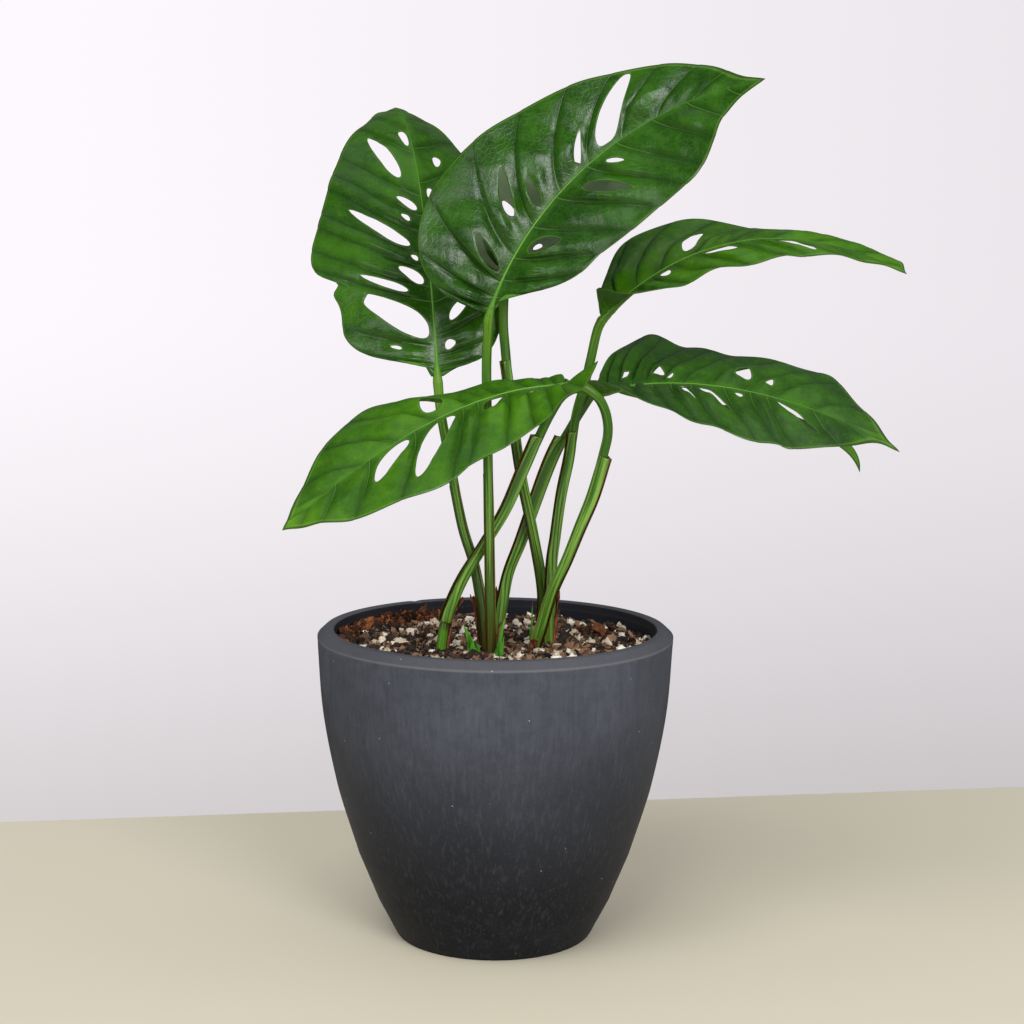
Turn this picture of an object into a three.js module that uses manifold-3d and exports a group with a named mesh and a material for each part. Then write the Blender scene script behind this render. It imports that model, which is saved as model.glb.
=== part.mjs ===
// Swiss cheese vine in a round, tapering planter.
// Millimetres, +Z up. The origin is the centre of the flat base that the pot stands on.
import * as THREE from 'three';
import { mergeVertices } from 'three/addons/utils/BufferGeometryUtils.js';
import Module from 'manifold-3d';

const wasm = await Module();
wasm.setup();

// Driving dimensions
const POT_HEIGHT = 158;
const POT_RIM_RADIUS = 90;
const POT_BASE_RADIUS = 50;
const POT_WALL = 5;
const POT_FLOOR = 8;
const POT_LIP_INNER_RADIUS = 81.5;
const POT_CROWN_RADIUS = 86.5;
const POT_BEVEL_HEIGHT = 4;
const POT_CROWN_DROP = 1.9;
const POT_BASE_EDGE = 0.8;
const POT_SEGMENTS = 40;
const SOIL_LEVEL = 148;
const SOIL_LUMP = 1.1;
const BLADE_THICKNESS = 0.8;
const STALK_RADIUS = 2.4;
const STALK_SIDES = 7;
const CLEARANCE = 0.4;
const STALK_DEPTH = 14;
const SHOOT_DEPTH = 8;
const JOINT_SWELL = 0.5;
const JOINT_SHARE = 0.06;
const FOOT_SWELL = 0.48;
const FOOT_SHARE = 0.7;
const KEEL_SHARE = 0.72;
const KEEL_RADII = [2, 0.7];
const KEEL_DEPTHS = [1.6, 0.35];
const QUILT_HEIGHT = 1.5;
const VEIN_SWEEP = 1.35;

// The wall's radius at shares of its height below the lip's bevel
const WALL_CURVE = [
  [0.12, 59.6],
  [0.28, 69.6],
  [0.5, 79.9],
  [0.75, 87.2],
];

// Each leaf is laid out along its midrib, an arc through the air with four guide points.
// "facing" is the way its upper face looks at the stalk and at the tip.
// A half leaf is a row of stations from the stalk to the tip: where the cross line
// leaves the midrib, where it ends along and across the leaf, and how far it is
// folded up from flat, in degrees. "nerves" are the side veins' places in stations,
// and each hole lies between two of them:
// [from across, to across, station at its start, at its end, width in stations, sharpness].
const LEAVES = {
  leaf_front: {
    midrib: [[-4, -18, 316], [15, -19, 375], [68, 6, 419], [127, -27, 429]],
    facing: [[0.05, -0.95, 0.32], [0, -0.9, 0.45]],
    droop: 0.0015,
    left: {
      stations: [
        [0, 0, 4, 10], [2, 3, 26, 12], [8, 13, 42, 12], [16, 34, 51, 10], [30, 60, 49, 10],
        [52, 86, 42, 8], [80, 112, 34, 8], [108, 138, 24, 6], [134, 158, 15, 5],
        [158, 172, 5, 5], [185, 185, 0, 0],
      ],
      nerves: [1.2, 2.1, 3.05, 4.05, 4.87, 5.65, 6.32, 7.05, 7.8, 8.6, 9.3],
      holes: [
        [0.07, 0.42, 3.42, 3.56, 0.42, 1],
        [0.21, 0.67, 4.54, 4.56, 0.28, 1.2],
        [0.07, 0.43, 5.2, 5.08, 0.18, 1.2],
        [0.07, 0.48, 6.13, 6.14, 0.14, 1.1],
        [0.09, 0.95, 6.74, 6.6, 0.42, 0.6],
      ],
    },
    right: {
      stations: [
        [0, 5, 3, 12], [4, 15, 5, 12], [9, 22, 20, 12], [17, 38, 32, 10], [31, 58, 36, 10],
        [50, 82, 40, 8], [72, 110, 40, 8], [98, 135, 37, 6], [124, 153, 25, 5],
        [148, 163, 13, 5], [185, 185, 0, 0],
      ],
      nerves: [1, 2, 3.1, 3.95, 4.9, 5.75, 6.6, 7.3, 8.1, 8.9, 9.5],
      holes: [
        [0.12, 0.42, 4.34, 4.5, 0.48, 1],
        [0.17, 0.63, 6.17, 6.2, 0.32, 1.1],
        [0.11, 0.29, 6.87, 6.95, 0.14, 1.3],
      ],
    },
    stalk: [[-4, -18, 316], [-5, -14, 289], [-4, -15, 242], [-3, -19, 199], [-2, -21, 148]],
    sheath: [0.55, 1, 0.6, [-1, -0.3, 0]],
  },
  leaf_back: {
    midrib: [[-30, 8, 284], [-34, 20, 350], [-44, 45, 420], [-58, 122, 424]],
    facing: [[0.1, -0.95, 0.25], [0, -0.7, 0.7]],
    droop: 0.003,
    left: {
      stations: [
        [0, 0, 3, 5], [3, 9, 10, 5], [5, 12, 33, 5], [12, 22, 45, 5], [24, 40, 47, 5],
        [40, 64, 59, 5], [62, 92, 52, 5], [90, 124, 41, 5], [124, 158, 26, 0],
        [162, 184, 12, -5], [199, 199, 0, -8],
      ],
      nerves: [1.2, 2.2, 3.35, 4.9, 5.3, 5.76, 6.02, 6.5, 6.81, 7.2, 8.05, 8.7, 9.4],
      holes: [
        [0.38, 0.51, 3.02, 3.02, 0.18, 1],
        [0.06, 0.71, 3.95, 4.4, 0.95, 0.75],
        [0.2, 0.6, 5.08, 5.12, 0.2, 1],
        [0.06, 0.28, 5.42, 5.56, 0.28, 1],
        [0.1, 0.17, 5.9, 5.92, 0.12, 1],
        [0.17, 0.77, 6.16, 6.32, 0.24, 1.1],
        [0.16, 0.26, 6.66, 6.66, 0.12, 1],
        [0.07, 0.31, 6.94, 6.98, 0.16, 1],
        [0.25, 0.78, 7.46, 7.86, 0.4, 1.1],
        [0.06, 0.28, 8.3, 8.36, 0.32, 1],
      ],
    },
    right: {
      stations: [
        [0, 0, 3, 5], [2, 4, 10, 5], [4, 9, 24, 5], [12, 22, 33, 5], [24, 42, 35, 5],
        [42, 66, 38, -5], [66, 94, 39, -16], [94, 124, 37, -25], [126, 156, 30, -30],
        [162, 184, 16, -30], [199, 199, 0, -30],
      ],
      nerves: [1.2, 2.1, 2.85, 3.75, 4.8, 5.7, 6.6, 7.35, 8.1, 8.9, 9.5],
      holes: [
        [0.14, 0.3, 3.24, 3.22, 0.42, 1],
        [0.22, 0.54, 4.2, 4.44, 0.4, 0.9],
        [0.1, 0.2, 7.1, 7.1, 0.2, 1],
        [0.33, 0.48, 7.68, 7.66, 0.24, 1],
      ],
    },
    stalk: [
      [-30, 8, 284], [-28, 7, 265], [-23, 5, 239], [-17, 3, 209], [-11, 0, 190],
      [-7, -5, 170], [-5, -9, 149],
    ],
    sheath: [0.6, 1, 0.6, [-1, -0.2, 0]],
  },
  leaf_between: {
    midrib: [[3, 13, 325], [9, 18, 352], [39, 21, 373], [73, 16, 378]],
    facing: [[0.05, -0.95, 0.32], [0, -0.9, 0.45]],
    droop: 0.0015,
    left: {
      stations: [
        [0, 0, 3, 8], [2, 2, 16, 8], [6, 6, 28, 8], [13, 18, 38, 8], [23, 36, 41, 8],
        [38, 54, 34, 8], [55, 71, 19, 6], [75, 87, 9, 5], [93, 93, 0, 0],
      ],
      nerves: [1, 2, 2.6, 3.5, 4.1, 4.7, 5.5, 6.2, 6.75, 7.4],
      holes: [
        [0.2, 0.51, 2.8, 3.24, 0.2, 1],
        [0.41, 0.64, 4.4, 4.24, 0.2, 1],
        [0.1, 0.32, 6.4, 6.5, 0.3, 1],
      ],
    },
    right: {
      stations: [
        [0, 1, 3, 8], [2, 5, 9, 8], [6, 12, 14, 8], [13, 23, 19, 8], [24, 38, 22, 8],
        [39, 56, 23, 8], [57, 73, 18, 6], [75, 87, 9, 5], [93, 93, 0, 0],
      ],
      nerves: [1, 2, 3, 4, 5, 6, 7],
      holes: [
        [0.09, 0.24, 4.35, 4.4, 0.3, 1],
      ],
    },
    stalk: [
      [3, 13, 326], [3, 12, 310], [4, 12, 298], [6, 11, 280], [12, 10, 237], [19, 10, 203],
      [24, 11, 173], [23, 13, 149],
    ],
    sheath: [0.2, 0.62, 2, [0, -1, 0]],
  },
  leaf_right_upper: {
    midrib: [[53, 8, 314], [94, -1, 358], [147, -2, 365], [199, -20, 337]],
    facing: [[0.1, -0.5, 0.85], [0.2, -0.25, 0.93]],
    droop: 0.0015,
    left: {
      stations: [
        [0, 0, 4, 8], [1, 5, 12, 8], [4, 15, 25, 6], [11, 30, 37, 6], [24, 52, 41, 4],
        [42, 76, 38, -6], [62, 97, 35, -10], [86, 118, 28, -6], [112, 138, 18, -3],
        [140, 155, 12, 6], [163, 163, 0, 0],
      ],
      nerves: [1, 2, 3, 3.9, 4.7, 5.7, 6.5, 7.3, 8.1, 8.9, 9.5],
      holes: [
        [0.17, 0.73, 5.4, 5, 0.4, 1],
      ],
    },
    right: {
      stations: [
        [0, 1, 3, 90], [1, 6, 9, 95], [5, 10, 20, 75], [12, 20, 30, 40], [26, 42, 29, 12],
        [42, 66, 27, 4], [62, 90, 24, -4], [86, 114, 17, -4], [112, 138, 10, -3],
        [140, 153, 4, 0], [163, 163, 0, 0],
      ],
      nerves: [1, 2, 3, 3.75, 4.3, 5.05, 5.75, 6.55, 7, 7.7, 8.4, 9.2],
      holes: [
        [0.08, 0.38, 4.74, 4.58, 0.3, 1],
        [0.07, 0.37, 6.12, 6.26, 0.34, 1],
        [0.08, 0.84, 7.46, 7.32, 0.28, 1],
      ],
    },
    stalk: [
      [53, 8, 314], [50, 9, 307], [47, 9, 293], [44, 9, 280], [40, 9, 265], [37, 8, 244],
      [33, 6, 225], [30, 4, 204], [28, 2, 187], [27, 0, 149],
    ],
    sheath: [0.5, 1, 0.6, [1, 0, 0]],
  },
  leaf_right_lower: {
    midrib: [[50, -6, 277], [95, -18, 292], [157, -26, 276], [193, -48, 253]],
    facing: [[0, -0.5, 0.87], [0.1, -0.5, 0.87]],
    droop: 0.0015,
    left: {
      stations: [
        [0, 0, 4, 12], [1, 2, 14, 12], [5, 9, 32, 6], [13, 22, 46, 4], [24, 40, 42, -3],
        [40, 62, 37, -3], [58, 86, 36, -1], [80, 106, 34, 1], [105, 126, 19, 0],
        [130, 145, 6, 0], [155, 155, 0, 0],
      ],
      nerves: [1, 2, 2.8, 3.4, 4, 4.56, 5.1, 5.9, 6.75, 7.3, 8.1, 8.9, 9.5],
      holes: [
        [0.12, 0.22, 2.98, 3.18, 0.18, 1],
        [0.17, 0.3, 4.34, 4.16, 0.34, 1],
        [0.1, 0.19, 4.7, 4.72, 0.12, 1],
        [0.22, 0.41, 6.44, 6.24, 0.34, 1],
        [0.22, 0.32, 7, 6.96, 0.14, 1],
      ],
    },
    right: {
      stations: [
        [0, -2, 5, 75], [1, -9, 20, 62], [5, 2, 30, 50], [12, 18, 36, 34], [23, 38, 38, 18],
        [38, 58, 38, 8], [57, 82, 36, 0], [80, 105, 33, -2], [105, 128, 22, 0],
        [130, 146, 5, 0], [155, 155, 0, 0],
      ],
      nerves: [1, 2, 3, 3.7, 4.35, 4.95, 5.5, 6.3, 6.85, 7.2, 8.15, 9, 9.5],
      columns: [0, 0.07, 0.21, 0.54, 0.78, 1],
      holes: [
        [0.12, 0.26, 4.05, 4.02, 0.26, 1],
        [0.1, 0.19, 5.24, 5.24, 0.14, 1],
        [0.23, 0.49, 5.14, 5.34, 0.2, 1],
        [0.12, 0.54, 5.72, 6.12, 0.24, 1],
        [0.09, 0.2, 6.6, 6.56, 0.16, 1],
        [0.1, 0.71, 7.4, 7.92, 0.16, 1.1],
      ],
    },
    stalk: [
      [50, -6, 277], [44, -6, 279], [38, -6, 279], [32, -6, 275], [27, -6, 267], [23, -6, 259],
      [14, -7, 239], [5, -8, 219], [-6, -9, 201], [-16, -10, 185], [-22, -11, 172],
      [-25, -12, 163], [-27, -13, 148],
    ],
    sheath: [0.31, 0.85, 2, [-0.7, -0.7, 0]],
  },
  leaf_right_under: {
    midrib: [[60, 24, 279], [91, 22, 264], [191, 14, 257], [184, 0, 238]],
    facing: [[0, 0, 1], [0.35, -0.35, 0.87]],
    droop: 0.0015,
    left: {
      stations: [
        [0, 0, 3, 5], [1, 0, 12, 2], [5, 8, 18, 0], [13, 22, 22, -4], [26, 40, 23, -6],
        [42, 62, 22, -6], [62, 86, 17, -4], [86, 108, 11, 0], [138, 138, 0, 0],
      ],
      nerves: [1, 2, 3, 4, 5, 6, 7],
      holes: [],
    },
    right: {
      stations: [
        [0, 0, 3, 10], [1, 0, 9, 8], [5, 7, 13, 6], [13, 21, 16, 4], [26, 40, 17, 4],
        [42, 62, 16, 4], [62, 86, 13, 2], [86, 108, 9, 0], [138, 138, 0, 0],
      ],
      nerves: [1, 2, 3, 4, 5, 6, 7],
      holes: [],
    },
    stalk: [
      [60, 24, 279], [56, 23, 279], [52, 22, 277], [48, 20, 274], [44, 20, 268], [38, 20, 258],
      [28, 20, 239], [14, 20, 201], [7, 20, 184], [4, 19, 171], [1, 17, 152],
    ],
    sheath: [0.3, 0.8, 2.2, [-0.7, -0.5, 0]],
  },
  leaf_left: {
    midrib: [[35, -40, 283], [-14, -57, 286], [-64, -76, 249], [-96, -102, 221]],
    facing: [[-0.1, -0.5, 0.85], [-0.3, -0.6, 0.75]],
    droop: 0.0015,
    left: {
      stations: [
        [0, -3, 4, 75], [1, -9, 17, 75], [4, 1, 23, 34], [10, 14, 26, 18], [22, 30, 34, 5],
        [38, 60, 37, 0], [60, 92, 39, 0], [84, 116, 33, 0], [110, 138, 23, 0],
        [135, 152, 10, 0], [161, 161, 0, 0],
      ],
      nerves: [1, 2, 2.7, 3.4, 4.1, 4.7, 5.45, 5.8, 6.9, 7.9, 8.7, 9.4],
      holes: [
        [0.06, 0.17, 3.76, 3.77, 0.46, 1],
        [0.06, 0.29, 5.06, 5.14, 0.46, 1],
        [0.07, 0.78, 6.22, 6.6, 0.68, 0.85],
        [0.06, 0.55, 7.24, 7.6, 0.6, 1],
      ],
    },
    right: {
      stations: [
        [0, -2, 4, -10], [1, -2, 16, -20], [6, 8, 28, -24], [13, 23, 32, -24], [24, 42, 34, -23],
        [40, 64, 39, -17], [60, 88, 38, -6], [84, 110, 27, 0], [110, 134, 14, 0],
        [135, 150, 5, 0], [161, 161, 0, 0],
      ],
      nerves: [1, 1.95, 2.75, 3.7, 4.7, 5.6, 6.45, 7.3, 8.1, 8.9, 9.5],
      holes: [
        [0.34, 0.89, 2.55, 2.12, 0.2, 1],
        [0.16, 0.46, 6.16, 5.86, 0.44, 1],
      ],
    },
    stalk: [
      [35, -40, 283], [41, -41, 283], [46, -41, 280], [50, -40, 276], [53, -38, 269],
      [54, -36, 260], [52, -33, 249], [47, -28, 229], [41, -24, 212], [35, -20, 195],
      [28, -16, 178], [23, -12, 160], [20, -9, 149],
    ],
    sheath: [0.31, 0.9, 1.6, [0.8, -0.5, 0]],
  },
};

// Young shoots that have just broken the soil: foot, tip and radius
const SHOOTS = {
  shoot_left: { path: [[-11, -20, 149], [-13, -22, 156], [-15, -24, 163]], radius: 2.4 },
  shoot_right: { path: [[1, -27, 149], [3, -28, 158], [5, -29, 168]], radius: 2 },
};

const clamp = (x, low, high) => Math.min(Math.max(x, low), high);
const mix = (a, b, k) => a + (b - a) * k;
const radians = (degrees) => (degrees * Math.PI) / 180;

// A smooth row of numbers through the given rows, at place u counted in rows
function through(rows, u) {
  const last = rows.length - 1;
  const i = clamp(Math.floor(u), 0, last - 1);
  const f = clamp(u, 0, last) - i;
  const b = rows[i];
  const c = rows[i + 1];
  const a = i > 0 ? rows[i - 1] : b.map((x, k) => 2 * x - c[k]);
  const d = i + 2 <= last ? rows[i + 2] : c.map((x, k) => 2 * x - b[k]);
  return b.map((x, k) => 0.5 * (2 * x + (c[k] - a[k]) * f
    + (2 * a[k] - 5 * x + 4 * c[k] - d[k]) * f * f
    + (3 * x - a[k] - 3 * c[k] + d[k]) * f * f * f));
}

// A closed mesh as a solid that can be joined and cut
function toSolid(positions, triangles) {
  const geometry = new THREE.BufferGeometry();
  geometry.setAttribute('position', new THREE.Float32BufferAttribute(positions, 3));
  geometry.setIndex(triangles);
  return geometryToSolid(geometry);
}

function geometryToSolid(source) {
  const geometry = source.clone();
  geometry.deleteAttribute('normal');
  geometry.deleteAttribute('uv');
  const merged = mergeVertices(geometry, 1e-4);
  return new wasm.Manifold(new wasm.Mesh({
    numProp: 3,
    vertProperties: new Float32Array(merged.attributes.position.array),
    triVerts: new Uint32Array(merged.index.array),
  }));
}

function toGeometry(solid) {
  const mesh = solid.getMesh();
  const geometry = new THREE.BufferGeometry();
  geometry.setAttribute('position', new THREE.Float32BufferAttribute(mesh.vertProperties, 3));
  geometry.setIndex(Array.from(mesh.triVerts));
  geometry.computeVertexNormals();
  return geometry;
}

// A round-ended rod along a path: sections of STALK_SIDES corners, each turned with the
// path so that they don't twist. "outline" gives each corner's distance from the path.
function rod(points, steps, outline, hint) {
  const positions = [];
  const triangles = [];
  const at = (k) => new THREE.Vector3(...through(points, (k / steps) * (points.length - 1)));
  let side = new THREE.Vector3(...hint);
  for (let k = 0; k <= steps; k += 1) {
    const centre = at(k);
    const ahead = at(Math.min(k + 0.5, steps)).sub(at(Math.max(k - 0.5, 0))).normalize();
    side = side.clone().addScaledVector(ahead, -side.dot(ahead)).normalize();
    const across = new THREE.Vector3().crossVectors(ahead, side);
    for (let j = 0; j < STALK_SIDES; j += 1) {
      const turn = (2 * Math.PI * j) / STALK_SIDES;
      const reach = outline(k / steps, turn);
      const p = centre.clone().addScaledVector(side, reach * Math.cos(turn));
      p.addScaledVector(across, reach * Math.sin(turn));
      positions.push(p.x, p.y, p.z);
    }
  }
  for (let k = 0; k < steps; k += 1) {
    for (let j = 0; j < STALK_SIDES; j += 1) {
      const a = k * STALK_SIDES + j;
      const b = k * STALK_SIDES + ((j + 1) % STALK_SIDES);
      triangles.push(a, b, b + STALK_SIDES, a, b + STALK_SIDES, a + STALK_SIDES);
    }
  }
  const ends = [at(0), at(steps)];
  ends.forEach((end) => positions.push(end.x, end.y, end.z));
  const first = (steps + 1) * STALK_SIDES;
  for (let j = 0; j < STALK_SIDES; j += 1) {
    const next = (j + 1) % STALK_SIDES;
    triangles.push(first, next, j);
    triangles.push(first + 1, steps * STALK_SIDES + j, steps * STALK_SIDES + next);
  }
  return toSolid(positions, triangles);
}

// The midrib's place, direction, facing and left side at a distance x from the stalk.
// Before the stalk the midrib runs on straight, which the basal lobes need.
function midribFrames(leaf) {
  const arc = new THREE.CubicBezierCurve3(...leaf.midrib.map((p) => new THREE.Vector3(...p)));
  arc.arcLengthDivisions = 600;
  const length = arc.getLength();
  const facing = leaf.facing.map((f) => new THREE.Vector3(...f).normalize());
  const frame = (x) => {
    const share = clamp(x / length, 0, 1);
    const ahead = arc.getTangentAt(share);
    const place = arc.getPointAt(share).addScaledVector(ahead, x - share * length);
    const up = facing[0].clone().lerp(facing[1], share);
    up.addScaledVector(ahead, -up.dot(ahead)).normalize();
    return { place, up, left: new THREE.Vector3().crossVectors(up, ahead) };
  };
  return { length, frame };
}

// The middle surface of a half leaf at station v and share t from the midrib to the edge.
// The blade swells between its nerves and curves away from flat with distance.
function halfSurface(leaf, half, direction, frame) {
  const bounds = [0, ...half.nerves, half.stations.length - 1];
  return (v, t) => {
    const [foot, reach, width, fold] = through(half.stations, v);
    const x = foot + (reach - foot) * t ** VEIN_SWEEP;
    const y = Math.max(width, 0) * t;
    const { place, up, left } = frame(x);
    const k = clamp(bounds.findIndex((b) => b > v), 1, bounds.length - 1);
    const between = clamp((v - bounds[k - 1]) / (bounds[k] - bounds[k - 1]), 0, 1);
    const swell = QUILT_HEIGHT * Math.sin(Math.PI * between) ** 2
      * Math.sin(Math.PI * t) * Math.min(1, y / 12);
    const turn = radians(fold);
    return place.addScaledVector(left, direction * Math.cos(turn) * y)
      .addScaledVector(up, Math.sin(turn) * y + swell - leaf.droop * y * y);
  };
}

// Triangles between two rows of points whose keys both rise, keys setting the pace
function zip(rowA, keysA, rowB, keysB, out, flip) {
  let i = 0;
  let j = 0;
  while (i < rowA.length - 1 || j < rowB.length - 1) {
    const stepA = j === rowB.length - 1
      || (i < rowA.length - 1 && keysA[i + 1] <= keysB[j + 1]);
    const corners = stepA ? [rowA[i], rowB[j], rowA[i + 1]] : [rowA[i], rowB[j], rowB[j + 1]];
    if (new Set(corners).size === 3) {
      out.push(...(flip ? corners.reverse() : corners));
    }
    if (stepA) {
      i += 1;
    } else {
      j += 1;
    }
  }
}

const COLUMNS = [0, 0.05, 0.3, 0.54, 0.8, 1];
const CLOSE_NERVES = 0.7;
const MIDRIB_STEP = 2.5;
const HOLE_CORNERS = 10;

// A blade: a triangulated middle surface with its holes, given a thickness both ways
function bladeSolid(leaf) {
  const { length, frame } = midribFrames(leaf);
  const points = [];
  const triangles = [];
  const add = (p) => points.push(p) - 1;
  const halves = [leaf.left, leaf.right];
  const feet = halves.flatMap((half) => rowPlaces(half).map((v) => through(half.stations, v)[0]));
  const midX = [0];
  feet.sort((a, b) => a - b).forEach((x) => {
    if (x > midX[midX.length - 1] + MIDRIB_STEP && x < length - MIDRIB_STEP) {
      midX.push(x);
    }
  });
  midX.push(length);
  const midrib = midX.map((x) => add(frame(x).place));
  const tip = midrib[midrib.length - 1];

  halves.forEach((half, which) => {
    const direction = which === 0 ? 1 : -1;
    const flip = which === 1;
    const surface = halfSurface(leaf, half, direction, frame);
    const places = rowPlaces(half);
    const columns = half.columns ?? COLUMNS;
    const lastRow = places.length - 1;
    const lastColumn = columns.length - 1;
    const grid = places.map((v, r) => columns.map((t, c) => {
      if (c === 0) {
        return -1;
      }
      return r === lastRow ? tip : add(surface(v, t));
    }));
    const rowFeet = places.map((v) => through(half.stations, v)[0]);
    zip(midrib, midX, grid.map((row) => row[1]), rowFeet, triangles, flip);
    const blocks = half.holes.map((hole) => holeBlock(hole, half, places, columns));
    const inBlock = (r, c) => blocks.some((b) => r >= b.r0 && r < b.r1 && c >= b.c0 && c < b.c1);
    for (let r = 0; r < lastRow; r += 1) {
      for (let c = 1; c < lastColumn; c += 1) {
        if (!inBlock(r, c)) {
          const corners = [grid[r][c], grid[r][c + 1], grid[r + 1][c + 1], grid[r + 1][c]];
          pushQuad(corners, triangles, flip);
        }
      }
    }
    half.holes.forEach((hole, k) => {
      const { r0, r1, c0, c1 } = blocks[k];
      const border = [];
      for (let c = c0; c < c1; c += 1) border.push([r0, c]);
      for (let r = r0; r < r1; r += 1) border.push([r, c1]);
      for (let c = c1; c > c0; c -= 1) border.push([r1, c]);
      for (let r = r1; r > r0; r -= 1) border.push([r, c0]);
      const outline = holeOutline(hole, HOLE_CORNERS);
      const centre = [(hole[2] + hole[3]) / 2, (hole[0] + hole[1]) / 2];
      const scale = [places[r1] - places[r0], columns[c1] - columns[c0]];
      const angle = ([v, t]) => Math.atan2((v - centre[0]) / scale[0], (t - centre[1]) / scale[1]);
      const ringA = sortRing(border.map(([r, c]) => [grid[r][c], angle([places[r], columns[c]])]));
      const ringB = sortRing(outline.map((p) => [add(surface(p[0], p[1])), angle(p)]));
      zip(ringB.ids, ringB.keys, ringA.ids, ringA.keys, triangles, flip);
    });
  });
  return thicken(points, triangles, BLADE_THICKNESS);
}

// The stations of the rows: one at each nerve, and one midway unless the nerves are close
function rowPlaces(half) {
  const bounds = [0, ...half.nerves, half.stations.length - 1];
  const places = [0];
  for (let k = 1; k < bounds.length; k += 1) {
    if (bounds[k] - bounds[k - 1] > CLOSE_NERVES) {
      places.push((bounds[k - 1] + bounds[k]) / 2);
    }
    places.push(bounds[k]);
  }
  return places;
}

// The rows and columns that a hole lies between
function holeBlock(hole, half, places, columns) {
  const middle = (hole[2] + hole[3]) / 2;
  const bounds = [0, ...half.nerves, half.stations.length - 1];
  const k = bounds.findIndex((b) => b > middle);
  const c0 = columns.findLastIndex((t) => t < hole[0] - 0.005);
  const c1 = columns.findIndex((t) => t > hole[1] + 0.005);
  return { r0: places.indexOf(bounds[k - 1]), r1: places.indexOf(bounds[k]), c0: Math.max(c0, 1), c1 };
}

// A hole's outline: an oval along the nerves, its sides drawn in to points by the sharpness
function holeOutline([from, to, start, end, width, sharpness], corners) {
  return Array.from({ length: corners }, (_, k) => {
    const turn = (2 * Math.PI * k) / corners;
    const along = (1 - Math.cos(turn)) / 2;
    const side = Math.sign(Math.sin(turn)) * Math.abs(Math.sin(turn)) ** sharpness;
    return [mix(start, end, along) + (width / 2) * side, mix(from, to, along)];
  });
}

// A closed ring of points in order of angle, its first point repeated at the end
function sortRing(pairs) {
  const sorted = [...pairs].sort((a, b) => a[1] - b[1]);
  const ids = sorted.map((p) => p[0]);
  const keys = sorted.map((p) => p[1]);
  return { ids: [...ids, ids[0]], keys: [...keys, keys[0] + 2 * Math.PI] };
}

function pushQuad([a, b, c, d], triangles, flip) {
  const faces = [[a, b, c], [a, c, d]].filter((f) => new Set(f).size === 3);
  faces.forEach((f) => triangles.push(...(flip ? f.reverse() : f)));
}

// A sheet given a thickness: both faces split alike, and every free edge walled
function thicken(points, triangles, thickness) {
  const normals = points.map(() => new THREE.Vector3());
  for (let k = 0; k < triangles.length; k += 3) {
    const [a, b, c] = [0, 1, 2].map((j) => triangles[k + j]);
    const n = points[b].clone().sub(points[a]).cross(points[c].clone().sub(points[a]));
    [a, b, c].forEach((i) => normals[i].add(n));
  }
  const positions = [];
  [0.5, -0.5].forEach((share) => points.forEach((p, i) => {
    const q = p.clone().addScaledVector(normals[i].clone().normalize(), share * thickness);
    positions.push(q.x, q.y, q.z);
  }));
  const count = points.length;
  const faces = [...triangles];
  const open = new Map();
  for (let k = 0; k < triangles.length; k += 3) {
    const corners = [triangles[k], triangles[k + 1], triangles[k + 2]];
    faces.push(corners[2] + count, corners[1] + count, corners[0] + count);
    corners.forEach((a, j) => {
      const b = corners[(j + 1) % 3];
      if (!open.delete(`${b},${a}`)) {
        open.set(`${a},${b}`, [a, b]);
      }
    });
  }
  open.forEach(([a, b]) => faces.push(b, a, a + count, b, a + count, b + count));
  return toSolid(positions, faces);
}

// A leaf stalk: round, thicker at the foot and at its joint with the blade, with the
// leaf sheath's wing standing out on one side and ending in a cut lip
function stalkOutline(leaf, extra) {
  const [top, bottom, height] = leaf.sheath;
  return (share, turn) => {
    const joint = JOINT_SWELL * Math.max(0, 1 - share / JOINT_SHARE);
    const foot = FOOT_SWELL * Math.max(0, (share - FOOT_SHARE) / (1 - FOOT_SHARE));
    const winged = share > top && share < bottom ? Math.min(1, (bottom - share) / 0.15) : 0;
    const wing = height * winged * Math.max(0, Math.cos(turn)) ** 2;
    return STALK_RADIUS + joint + foot + wing + extra;
  };
}

function stalkSolid(leaf, extra) {
  const foot = leaf.stalk[leaf.stalk.length - 1];
  const path = [...leaf.stalk, [foot[0], foot[1], SOIL_LEVEL - STALK_DEPTH - extra]];
  const steps = Math.max(12, Math.round(path.length * 1.6));
  return rod(path, steps, stalkOutline(leaf, extra), leaf.sheath[3]);
}

// The midrib's keel under the blade, thinning towards the tip
function keelSolid(leaf) {
  const { length, frame } = midribFrames(leaf);
  const points = [];
  const steps = 10;
  for (let k = 0; k <= steps; k += 1) {
    const { place, up } = frame((k / steps) * KEEL_SHARE * length);
    const p = place.addScaledVector(up, -mix(...KEEL_DEPTHS, k / steps));
    points.push([p.x, p.y, p.z]);
  }
  const outline = (share) => mix(...KEEL_RADII, share ** 0.7);
  return rod(points, steps, outline, leaf.facing[0]);
}

function leafSolid(leaf) {
  return bladeSolid(leaf).add(stalkSolid(leaf, 0)).add(keelSolid(leaf));
}

// The wall's outer radius at height z, below the lip
function wallRadius(z) {
  const rows = [[0, POT_BASE_RADIUS], ...WALL_CURVE, [1, POT_RIM_RADIUS]];
  const share = clamp(z / (POT_HEIGHT - POT_BEVEL_HEIGHT), 0, 1);
  const k = clamp(rows.findIndex((row) => row[0] >= share), 1, rows.length - 1);
  const u = (share - rows[k - 1][0]) / (rows[k][0] - rows[k - 1][0]);
  return through(rows.map((row) => [row[1]]), k - 1 + u)[0];
}

// The cavity's radius at height z: straight between levels, as the faceted wall is
const CAVITY_TOP = POT_HEIGHT - POT_BEVEL_HEIGHT;
const CAVITY_LEVELS = Array.from({ length: 6 }, (_, k) => mix(CAVITY_TOP, POT_FLOOR, k / 5));

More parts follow.
